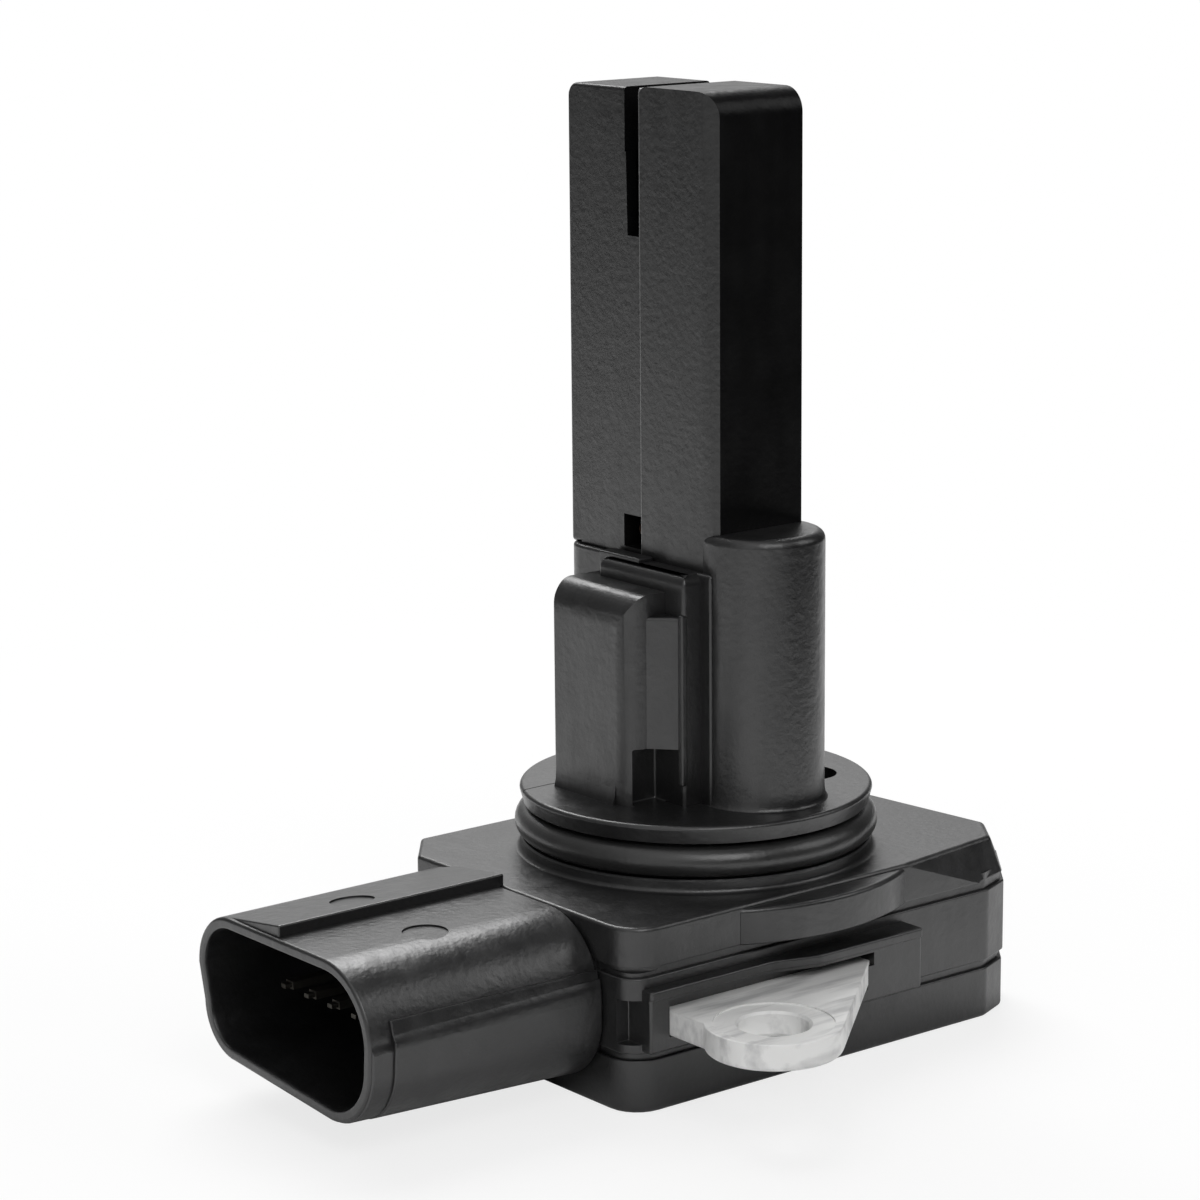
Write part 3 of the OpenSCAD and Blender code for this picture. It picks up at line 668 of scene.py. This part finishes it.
def make_round_lobe():
    """Round lobe with a flare at its foot and a rounded rim."""
    profile = [(ROUND_R + FLARE, LIP_Z - OVER)]
    profile += [(ROUND_R + FLARE * (1 - math.sin(t)), LIP_Z + FLARE_H * (1 - math.cos(t)))
                for t in quarter(6)]
    profile += [(ROUND_R - ROUND_RIM_R * (1 - math.cos(t)), ROUND_TOP - ROUND_RIM_R * (1 - math.sin(t)))
                for t in quarter(6)]
    return lathe("round_lobe", profile, (ROUND_X, COLUMN_FRONT), 128)


def make_flat_lobe():
    """Flat lobe with a rounded shoulder, a small flare at its foot and a pocket beside the foot."""
    plan = fillet([(FLAT_X, FLAT_FRONT, FLAT_R), (0, FLAT_FRONT, HIDDEN_R), (0, FLAT_BACK, HIDDEN_R),
                   (FLAT_X, FLAT_BACK, FLAT_BACK_R)], 12)
    body = prism("flat_lobe", plan, LIP_Z - OVER, FLAT_TOP + OVER)
    side = [(FLAT_X - 0.5, LIP_Z - 2), (1, LIP_Z - 2), (1, FLAT_TOP)]
    side += [(FLAT_X + FLAT_R * (1 - math.sin(t)) - HAIR, FLAT_TOP - SHOULDER_H * (1 - math.cos(t)))
             for t in quarter(14)]
    side += [(FLAT_X - HAIR, LIP_Z + 3), (FLAT_X - 0.5, LIP_Z + 3)]
    meet(body, turned(prism("shoulder", side, -FLAT_BACK - OVER, -FLAT_FRONT + OVER), ALONG_Y))
    foot = [(FLAT_X - FLARE, LIP_Z - OVER), (-2, LIP_Z - OVER), (-2, LIP_Z + FLARE_H),
            (FLAT_X, LIP_Z + FLARE_H), (FLAT_X - FLARE_BEND[0], LIP_Z + FLARE_BEND[1]),
            (FLAT_X - FLARE, LIP_Z)]
    join(body, turned(prism("flare", foot, -FLAT_BACK + 0.4, -FLAT_FRONT - FLAT_R), ALONG_Y))
    pocket = slab("pocket", (FLAT_X + 0.6, FLAT_FRONT - OVER, LIP_Z),
                  (WEB_X, FLAT_FRONT + 1.4, SLOPE_LOW), 0.2, 0.2)
    return cut(body, pocket)


def make_web():
    """Web between the lobes, with its sloped face, rib and clip, and the sleeve's wall behind them."""
    web = slab("web", (WEB_X, WEB_FRONT, LIP_Z - OVER), (0, WEB_BACK, WEB_TOP), WEB_R, 0.3)
    wall = prism("sleeve_wall", fillet([
        (SLEEVE_LEFT, COLUMN_FRONT, 0.2), (SLEEVE_RIGHT, COLUMN_FRONT, 0.2),
        (SLEEVE_RIGHT, SLEEVE_BACK, SLEEVE_R), (SLEEVE_LEFT, SLEEVE_BACK, SLEEVE_R)]),
        LIP_Z - OVER, WEB_TOP, 0, TOP_EDGE_R)
    slope_plan = [(FLAT_X + 1, SLOPE_BACK), (WEB_X - 0.2, SLOPE_FRONT), (WEB_X + 1, SLOPE_FRONT),
                  (WEB_X + 1, SLOPE_BACK)]
    slope = prism("web_slope", slope_plan, SLOPE_LOW, SLOPE_HIGH, 0, TOP_EDGE_R)
    rib = slab("web_rib", (WEB_X - 0.28, WEB_FRONT - 0.1, RIB_LOW), (WEB_X + 0.3, WEB_FRONT + 0.5, RIB_HIGH),
               0.15, 0.15)
    clip = slab("clip", (WEB_X + 0.6, CLIP_Y[0], WEB_TOP - 2),
                (COLUMN_LEFT - COLUMN_GAP, CLIP_Y[1], WEB_TOP + CLIP_H), 0.15, 0.15)
    return join(web, wall, slope, rib, clip)


def make_flange():
    """Flange, spigot and sleeve as one moulding, with the column's pocket through it."""
    flange = flange_slab()
    neck = prism("flange_neck", inset(base_outline(CORNER_R), JOINT_LINE), CASE_TOP, CASE_TOP + OVER)
    swing = math.degrees(math.asin(BULGE_HALF / BULGE_R))
    bulge_plan = [(-BULGE_HALF, BULGE_CHORD), *arc(0, 0, BULGE_R, -90 - swing, -90 + swing, 28),
                  (BULGE_HALF, BULGE_CHORD)]
    bulge = prism("bulge", bulge_plan, CASE_TOP + JOINT_LINE, BULGE_TOP, SOFT_R, FLANGE_EDGE_R)
    join(flange, neck, bulge, make_spigot(), make_round_lobe(), make_flat_lobe(), make_web())
    core = lathe("core", [(CORE_OUT_R, LIP_Z - CORE_OUT_DEPTH), (CORE_OUT_R, LIP_Z + OVER)], CORE_OUT, 48)
    pocket_top = COLUMN_TOP + OVER
    pocket_front = prism("pocket_front", column_plan(COLUMN_GAP, POCKET_SLANT), COLUMN_FOOT, pocket_top)
    pocket_back = slab("pocket_back", (COLUMN_LEFT - COLUMN_GAP, SEAM_Y - OVER, COLUMN_FOOT),
                       (COLUMN_RIGHT + COLUMN_GAP, COLUMN_BACK - TENON_SET_IN + COLUMN_GAP, pocket_top))
    parting = slab("parting", (-SPIGOT_R - OVER, PARTING_Y[0], LIP_Z - PARTING_DEPTH),
                   (FLAT_X + 0.5, PARTING_Y[1], LIP_Z + OVER))
    return cut(flange, core, pocket_front, pocket_back, parting)


def make_half_right():
    """Front half of the column, with its part of the air passage."""
    plan = fillet([(x, y, SEAM_EDGE_R if y == SEAM_Y else 0) for x, y in column_plan(0, COLUMN_SLANT)])
    half = prism("column_front_half", plan, COLUMN_FOOT, COLUMN_TOP + OVER)
    side = fillet([(COLUMN_FRONT - HAIR, COLUMN_FOOT - OVER, 0), (SEAM_Y + OVER, COLUMN_FOOT - OVER, 0),
                   (SEAM_Y, COLUMN_TOP, TIP_SEAM_R), (COLUMN_FRONT - HAIR, COLUMN_TOP, TIP_R)], 12)
    # Up to the bend the side keeps clear of the seam, and above it the tip is rounded there
    side.insert(2, (SEAM_Y, TIP_BEND))
    meet(half, turned(prism("tip", side, COLUMN_LEFT - OVER, COLUMN_RIGHT + OVER), ALONG_X))
    bevelled(half, COLUMN_BEVEL)
    floor = SEAM_Y - DUCT_D
    pocket = slab("carrier_pocket", (COLUMN_X - CARRIER_HALF, floor - CARRIER_D, COLUMN_FOOT - OVER),
                  (COLUMN_X + CARRIER_HALF, floor + COLUMN_GAP, CARRIER_TOP))
    return cut(half, duct(floor, SEAM_Y + OVER), pocket)


def make_half_left():
    """Rear half of the column, with the outlet slot and the thermistor's window."""
    left, right = COLUMN_LEFT + HALF_STEP, COLUMN_RIGHT
    beyond_left, beyond_right = COLUMN_LEFT - OVER, COLUMN_RIGHT + OVER
    side = fillet([(SEAM_Y - OVER, WEB_TOP, 0), (COLUMN_BACK, WEB_TOP, 0), (COLUMN_BACK, LEFT_TOP, BACK_R),
                   (SEAM_Y - OVER, LEFT_TOP, 0)], 8)
    half = turned(prism("column_rear_half", side, left, right), ALONG_X)
    bevelled(half, COLUMN_BEVEL)
    cut(half, slab("seam_side", (left - OVER, SEAM_Y - 3, WEB_TOP - OVER),
                   (beyond_right, SEAM_Y, COLUMN_TOP + OVER)))
    join(half, slab("tenon", (left, SEAM_Y, COLUMN_FOOT),
                    (right, COLUMN_BACK - TENON_SET_IN, WEB_TOP + OVER)))
    slot_plan = [(SLOT_Y, SLOT_LOW), (SLOT_Y + SLOT_W - SLOT_TAPER, SLOT_LOW),
                 (SLOT_Y + SLOT_W, COLUMN_TOP + OVER), (SLOT_Y, COLUMN_TOP + OVER)]
    slot = turned(prism("slot", slot_plan, beyond_left, COLUMN_X - DUCT_IN), ALONG_X)
    notch = slab("notch", (beyond_left, SLOT_Y, NOTCH_LOW),
                 (beyond_right, SLOT_Y + SLOT_W, COLUMN_TOP + OVER))
    window = slab("window", (beyond_left, WINDOW_Y[0], WINDOW_Z[0]), (COLUMN_X, WINDOW_Y[1], WINDOW_Z[1]))
    return cut(half, duct(SEAM_Y - OVER, SEAM_Y + DUCT_D), slot, notch, window)


def shroud_ring(x, shrink, grow, out):
    """Cross-section of the connector at x, anticlockwise seen from -X."""
    ring = []
    for i, ((y, z, r), (gy, gz, gr)) in enumerate(zip(MOUTH_CORNERS, ROOT_GROWTH)):
        cy = y + gy * grow - (out if y < 0 else 0)
        start = 90 * (1 + i)
        ring += arc(cy, z + gz * grow, r + gr * grow - shrink, start, start + 90, CORNER_STEPS)
    return [(x, y, z) for y, z in ring]


def shroud_body(name, start, out, edge):
    """Shroud without its socket, from a distance behind the mouth."""
    x = MOUTH_X + start
    rings = [shroud_ring(x + edge * (1 - math.sin(t)), edge * (1 - math.cos(t)), 0, out)
             for t in reversed(quarter(4))]
    rings += [shroud_ring(BASE_LEFT + behind, shrink, 1, out * ROOT_OUT)
              for behind, shrink in ((-0.25, 0), (0, 0.25), (2, 0.35))]
    return stack(name, rings)


def make_ledges():
    """Ledges along the shroud's side; each is a wider shroud, kept below a slanted top."""
    drift = Matrix.Identity(4)
    drift[1][0], drift[1][3] = LEDGE_DRIFT, -LEDGE_DRIFT * MOUTH_X * MM
    ledges = []
    for i, (start, top, out) in enumerate(LEDGES):
        below = [(BASE_FRONT, FLOOR_Z), (-2, FLOOR_Z), (-2, top), (SIDE_Y, top),
                 (BASE_FRONT, top - LEDGE_SLOPE * (SIDE_Y - BASE_FRONT))]
        keep = turned(prism(f"keep_{i}", below, MOUTH_X - OVER, BASE_LEFT + OVER), ALONG_X)
        ledges.append(meet(shroud_body(f"ledge_{i}", start, out, SOFT_R), turned(keep, drift)))
    return ledges


def make_marks():
    """Tools for the round ejector marks, one of them on the raised step."""
    marks = []
    for i, (x, y) in enumerate(MARKS):
        on_step = y > STEP_Y
        z = STEP_H - (y - STEP_Y) * STEP_SLOPE if on_step else 0
        tilt = Matrix.Rotation(-math.atan(STEP_SLOPE) if on_step else 0, 4, "X")
        mark = lathe(f"mark_{i}", [(MARK_R, -MARK_DEPTH), (MARK_R, 0.6)], segments=64)
        marks.append(turned(mark, Matrix.Translation(Vector((x, y, z)) * MM) @ tilt))
    return marks


def make_shroud():
    """Connector shroud with its ledges, raised step, socket and marks."""
    shroud = join(shroud_body("shroud", 0, 0, SHROUD_EDGE_R), *make_ledges())
    outline = fillet([(STEP_Y, -1, 0), (STEP_BACK_Y, -1, 0), (STEP_BACK_Y, -STEP_SUNK, 0),
                      (STEP_Y, STEP_H, STEP_EDGE_R)])
    over = fillet([(STEP_Y, 0, 0), (STEP_Y + STEP_H / STEP_SLOPE, 0, 0), (STEP_Y, STEP_H, STEP_EDGE_R)])
    join(shroud,
         turned(prism("step", outline, MOUTH_X + 0.4, BASE_LEFT, SOFT_R), ALONG_X),
         turned(prism("step_over", over, BASE_LEFT - OVER, BASE_LEFT + STEP_OVERLAP, 0, 0.2), ALONG_X))
    rings = [shroud_ring(MOUTH_X + behind, SHROUD_WALL - thinner, 0, 0) for behind, thinner in SOCKET_RIM]
    rings.append(shroud_ring(MOUTH_X + SOCKET_DEPTH, SHROUD_WALL + SOCKET_TAPER, 0, 0))
    return cut(shroud, stack("socket", rings), *make_marks())


def pad_outline(back):
    """Plan of an ear pad whose outer face is moved back by a distance."""
    root = BASE_FRONT + 3
    return fillet([
        (PAD_LEFT, root, 0), (PAD_LEFT, PAD_LOW + back, PAD_EDGE_R),
        (PAD_BEND_X[0], PAD_LOW + back, PAD_BEND_R), (PAD_BEND_X[1], PAD_HIGH + back, PAD_BEND_R),
        (PAD_RIGHT, PAD_HIGH + back, PAD_EDGE_R), (PAD_RIGHT, root, 0)])


def make_pad(turn):
    """Pad round the plate's neck: a lip along the top, and the neck's recess below it."""
    lip = prism("pad_lip", pad_outline(0), PAD_TOP - PAD_LIP, PAD_TOP, SOFT_R, 0.2)
    join(lip, prism("pad_body", pad_outline(PAD_SET_BACK), PAD_BOTTOM, PAD_TOP - 0.3, 0.25))
    recess = slab("neck_recess", (EAR_FLANK, PAD_HIGH - OVER, NECK_LOW),
                  (EAR_ROOT[0], PAD_LOW + 0.8, NECK_HIGH))
    cut(lip, recess)
    return turned(lip, Matrix.Rotation(turn, 4, "Z"))


def make_case():
    """Middle of the base with the connector and the ear pads, slotted for the plate."""
    outline = base_outline(CASE_NOTCH)
    case = prism("case_moulding", outline, CASE_BOTTOM + JOINT_LINE, CASE_TOP - JOINT_LINE, SOFT_R, SOFT_R)
    neck = prism("case_neck", inset(outline, JOINT_LINE), CASE_BOTTOM, CASE_TOP)
    join(case, neck, make_shroud(), make_pad(0), make_pad(math.pi))
    slots = [turned(prism("plate_slot", ear_outline(), PLATE_BOTTOM, PLATE_TOP),
                    Matrix.Rotation(turn, 4, "Z")) for turn in (0, math.pi)]
    pocket = slab("end_pocket", (PAD_LEFT - END_POCKET_W, BASE_FRONT - OVER, CASE_BOTTOM + 1.1),
                  (PAD_LEFT + 0.02, BASE_FRONT + END_POCKET_D, PAD_TOP - 0.9), 0.1, 0.1)
    return cut(case, pocket, *slots)


def make_cover():
    """Cover under the base, with a narrower neck up to the case."""
    outline = inset(base_outline(CORNER_R), COVER_IN)
    cover = prism("cover_moulding", outline, FLOOR_Z, CASE_BOTTOM - JOINT_LINE, 0.5, SOFT_R)
    return join(cover, prism("cover_neck", inset(outline, JOINT_LINE), CASE_BOTTOM - OVER, CASE_BOTTOM))


def ear_outline():
    """Plan of an ear: a flank, the round end and the flank back to the root."""
    cx, cy = HOLE
    root_x, root_y = EAR_ROOT
    first = math.degrees(math.acos((EAR_FLANK - cx) / EAR_R))
    dx, dy = root_x - cx, root_y - cy
    last = math.degrees(math.atan2(dy, dx) - math.acos(EAR_R / math.hypot(dx, dy))) + 360
    inside = BASE_FRONT + 4
    return [(EAR_FLANK, inside), *arc(cx, cy, EAR_R, first, last, 40), EAR_ROOT, (root_x, inside)]


def make_plate():
    """Aluminium plate with its two ears, their holes and milled spot faces."""
    plate = slab("ear_plate", (PLATE_X[0], BASE_FRONT + PLATE_IN, PLATE_BOTTOM),
                 (PLATE_X[1], BASE_BACK - PLATE_IN, PLATE_TOP))
    spot_z = PLATE_TOP - SPOT_DEPTH
    bore = [(HOLE_R + HOLE_FLARE, PLATE_BOTTOM - OVER), (HOLE_R + HOLE_FLARE, PLATE_BOTTOM),
            (HOLE_R, PLATE_BOTTOM + HOLE_FLARE), (HOLE_R, spot_z - HOLE_BEVEL),
            (HOLE_R + HOLE_BEVEL, spot_z), (HOLE_R + HOLE_BEVEL, PLATE_TOP + OVER)]
    tools = []
    for turn in (0, math.pi):
        spin = Matrix.Rotation(turn, 4, "Z")
        join(plate, turned(prism("ear", ear_outline(), PLATE_BOTTOM, PLATE_TOP, EAR_EDGE_R, 0.12), spin))
        spot = lathe("spot", [(SPOT_R, spot_z), (SPOT_R, PLATE_TOP + OVER)], HOLE, 96)
        tools += [turned(lathe("hole", bore, HOLE, 96), spin), turned(spot, spin)]
    return cut(plate, *tools)


def dress(piece, material, slot, *nodes):
    """Gives a piece its finish and its body, and hides the CAD nodes that it stands for."""
    piece.data.materials.clear()
    piece.data.materials.append(material)
    shade(piece)
    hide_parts(*nodes)
    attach(piece, "root")


dress(make_flange(), HOUSING, "housing_plastic", "flange_housing")
dress(make_case(), HOUSING, "housing_plastic", "connector_case")
dress(make_cover(), HOUSING, "housing_plastic", "back_cover")
dress(make_half_right(), COLUMN, "bypass_plastic", "bypass_cover")
dress(make_half_left(), COLUMN, "bypass_plastic", "bypass_body")
dress(make_plate(), METAL, "plate_aluminium", "mounting_plate")
dress(torus("seal_ring", RING_R, RING_CORD_R, RING_Z), RUBBER, "seal_rubber", "o_ring")

SMALL = {
    "circuit_board": plain("fired_alumina", (0.82, 0.8, 0.74), 0.45),
    "processor_chip": plain("chip_epoxy", (0.02, 0.02, 0.022), 0.4),
    "chip_capacitors": plain("capacitor_ceramic", (0.5, 0.38, 0.27), 0.5),
    "sensor_carrier": plain("carrier_moulding", (0.02, 0.02, 0.021), 0.5),
    "sensor_leads": plain("lead_strip", (0.8, 0.52, 0.34), 0.3, 1.0),
    "sensing_chip": plain("silicon", (0.2, 0.22, 0.28), 0.18),
    "air_thermistor": plain("bead_glass", (0.05, 0.03, 0.02), 0.3),
    "thermistor_leads": plain("lead_wire", (0.75, 0.72, 0.68), 0.3, 1.0),
    "bond_wires": plain("bond_wire", (0.88, 0.88, 0.88), 0.25, 1.0),
    "silicone_gel": plain("gel", (0.6, 0.64, 0.64), 0.2),
    "cover_adhesive": plain("adhesive", (0.28, 0.28, 0.29), 0.5),
    "flange_adhesive": plain("adhesive_bead", (0.28, 0.28, 0.29), 0.5),
}
# Terminals darkened with painted shade, where they sit deep in the dark socket
SHADED_TERMINAL = plain("terminal_in_painted_shade", (0.09, 0.085, 0.075), 0.6, 1.0)
for pin in range(1, 6):
    SMALL[f"terminal_{pin}"] = SHADED_TERMINAL
for node, material in SMALL.items():
    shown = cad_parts[node].data
    shown.materials.clear()
    shown.materials.append(material)


# Floor, light and camera; lengths in a material are in metres

# Towards the front right, where the room is dark and the table's colour is painted dark as shade
DARK_SIDE = (0.6226, -0.7826, 0)

# Painted pool of light on the table: its shade near the object and far from it, where it fades, and where
# painted shade begins towards the front right
TABLE_POOL_SHADES = (0.95, 0.15)
TABLE_POOL_FADE = (0.2, 1.0)
TABLE_SHADE_EDGE = (0.1, 0.16)

# How much of the object's shadow the camera sees on the table, and where that fades to white
SHADOW_SHARE = 0.22
SHADOW_FADE = (0.06, 0.16)
SHADOW_GREY = (0.9, 0.9, 0.9)

# The room's brightness from its bright side, 0, to its dark side, 1
ROOM = [(0, 0.12), (0.2, 0.35), (0.36, 0.9), (0.46, 0.8), (0.6, 0.2), (0.74, 0.04), (1, 0.02)]
ROOM_STRENGTH = 0.82

# Lamps: name, place, size, power in watts
LAMPS = [
    ("back_soft", (150, 310, 470), 370, 2.6),
    ("side_soft", (330, -270, 300), 260, 0.35),
    ("front_soft", (-120, -380, 360), 300, 0.8),
]

# The camera that was fitted to the photo: its place, its yaw, pitch and roll in degrees, and its lens
CAMERA_PLACE = (-189.68, -225.87, 85.47)
CAMERA_TURN = (38.511, 12.393, -0.497)
CAMERA_LENS = 110.66
SENSOR_W = 36


def grey(tree, value):
    """Grey whose three channels have one value."""
    color = tree.nodes.new("ShaderNodeCombineColor")
    for channel in ("Red", "Green", "Blue"):
        tree.links.new(value, color.inputs[channel])
    return color.outputs["Color"]


def split_rays(tree, others, camera, out):
    """Sends one shader to the camera's own rays, and another to all other rays."""
    path = tree.nodes.new("ShaderNodeLightPath")
    mix = tree.nodes.new("ShaderNodeMixShader")
    tree.links.new(path.outputs["Is Camera Ray"], mix.inputs["Fac"])
    tree.links.new(others, mix.inputs[1])
    tree.links.new(camera, mix.inputs[2])
    tree.links.new(mix.outputs["Shader"], out.inputs["Surface"])


def make_stage():
    """White table with a painted pool of light round the object and painted shade at the front right; the
    camera sees it white, with the object's soft shadow.
    """
    size = 4000
    floor = add_mesh("floor", [(-size, -size, FLOOR_Z), (size, -size, FLOOR_Z), (size, size, FLOOR_Z),
                               (-size, size, FLOOR_Z)], [(0, 1, 2, 3)])
    material = bpy.data.materials.new("pale_table")
    material.use_nodes = True
    tree = material.node_tree
    tree.nodes.clear()
    out = tree.nodes.new("ShaderNodeOutputMaterial")
    where = tree.nodes.new("ShaderNodeTexCoord")
    span = tree.nodes.new("ShaderNodeVectorMath")
    span.operation = "LENGTH"
    tree.links.new(where.outputs["Object"], span.inputs[0])
    # Painted light in the table's colour: a pool round the object, and shade towards the front right
    near = spread(tree, span.outputs["Value"], *TABLE_POOL_SHADES, *TABLE_POOL_FADE)
    lit = spread(tree, along(tree, where.outputs["Object"], DARK_SIDE), 1.0, 0.0, *TABLE_SHADE_EDGE)
    table = tree.nodes.new("ShaderNodeBsdfDiffuse")
    tree.links.new(grey(tree, times(tree, near, lit)), table.inputs["Color"])
    white = tree.nodes.new("ShaderNodeEmission")
    shadowed = tree.nodes.new("ShaderNodeBsdfDiffuse")
    shadowed.inputs["Color"].default_value = (*SHADOW_GREY, 1)
    seen = tree.nodes.new("ShaderNodeMixShader")
    tree.links.new(spread(tree, span.outputs["Value"], SHADOW_SHARE, 0.0, *SHADOW_FADE), seen.inputs["Fac"])
    tree.links.new(white.outputs["Emission"], seen.inputs[1])
    tree.links.new(shadowed.outputs["BSDF"], seen.inputs[2])
    split_rays(tree, table.outputs["BSDF"], seen.outputs["Shader"], out)
    floor.data.materials.append(material)


def make_light(name, place, size, power):
    """Square soft light that looks at the origin; lengths in millimetres."""
    data = bpy.data.lights.new(name, "AREA")
    data.shape = "SQUARE"
    data.size = size * MM
    data.energy = power
    lamp = bpy.data.objects.new(name, data)
    lamp.location = Vector(place) * MM
    lamp.rotation_euler = (-Vector(place)).to_track_quat("-Z", "Y").to_euler()
    bpy.context.scene.collection.objects.link(lamp)


def make_world():
    """Soft room, bright behind and at the left, dark at the front right."""
    world = bpy.data.worlds.new("surround")
    bpy.context.scene.world = world
    world.use_nodes = True
    tree = world.node_tree
    tree.nodes.clear()
    out = tree.nodes.new("ShaderNodeOutputWorld")
    where = tree.nodes.new("ShaderNodeTexCoord")
    side = spread(tree, along(tree, where.outputs["Generated"], DARK_SIDE), 0.0, 1.0, -1.0, 1.0)
    ramp = tree.nodes.new("ShaderNodeValToRGB")
    stops = ramp.color_ramp.elements
    for stop, (_, level) in zip((stops[0], stops[1]), (ROOM[0], ROOM[-1])):
        stop.color = (level, level, level, 1)
    for place, level in ROOM[1:-1]:
        stops.new(place).color = (level, level, level, 1)
    tree.links.new(side, ramp.inputs["Fac"])
    room = tree.nodes.new("ShaderNodeBackground")
    tree.links.new(ramp.outputs["Color"], room.inputs["Color"])
    room.inputs["Strength"].default_value = ROOM_STRENGTH
    white = tree.nodes.new("ShaderNodeBackground")
    white.inputs["Color"].default_value = (1, 1, 1, 1)
    split_rays(tree, room.outputs["Background"], white.outputs["Background"], out)


def make_camera():
    """Camera at the photo's place and angle."""
    yaw, pitch, roll = (math.radians(a) for a in CAMERA_TURN)
    ahead = Vector((math.sin(yaw) * math.cos(pitch), math.cos(yaw) * math.cos(pitch), -math.sin(pitch)))
    right = Vector((math.cos(yaw), -math.sin(yaw), 0))
    up = right.cross(ahead)
    side = right * math.cos(roll) + up * math.sin(roll)
    top = up * math.cos(roll) - right * math.sin(roll)
    turn = Matrix((side, top, -ahead)).transposed().to_4x4()
    data = bpy.data.cameras.new("camera")
    data.sensor_width = SENSOR_W
    data.lens = CAMERA_LENS
    data.clip_end = 100
    camera = bpy.data.objects.new("camera", data)
    camera.matrix_world = Matrix.Translation(Vector(CAMERA_PLACE) * MM) @ turn
    bpy.context.scene.collection.objects.link(camera)
    bpy.context.scene.camera = camera


make_stage()
make_world()
make_camera()
for lamp in LAMPS:
    make_light(*lamp)
bpy.context.scene.view_settings.view_transform = "Standard"
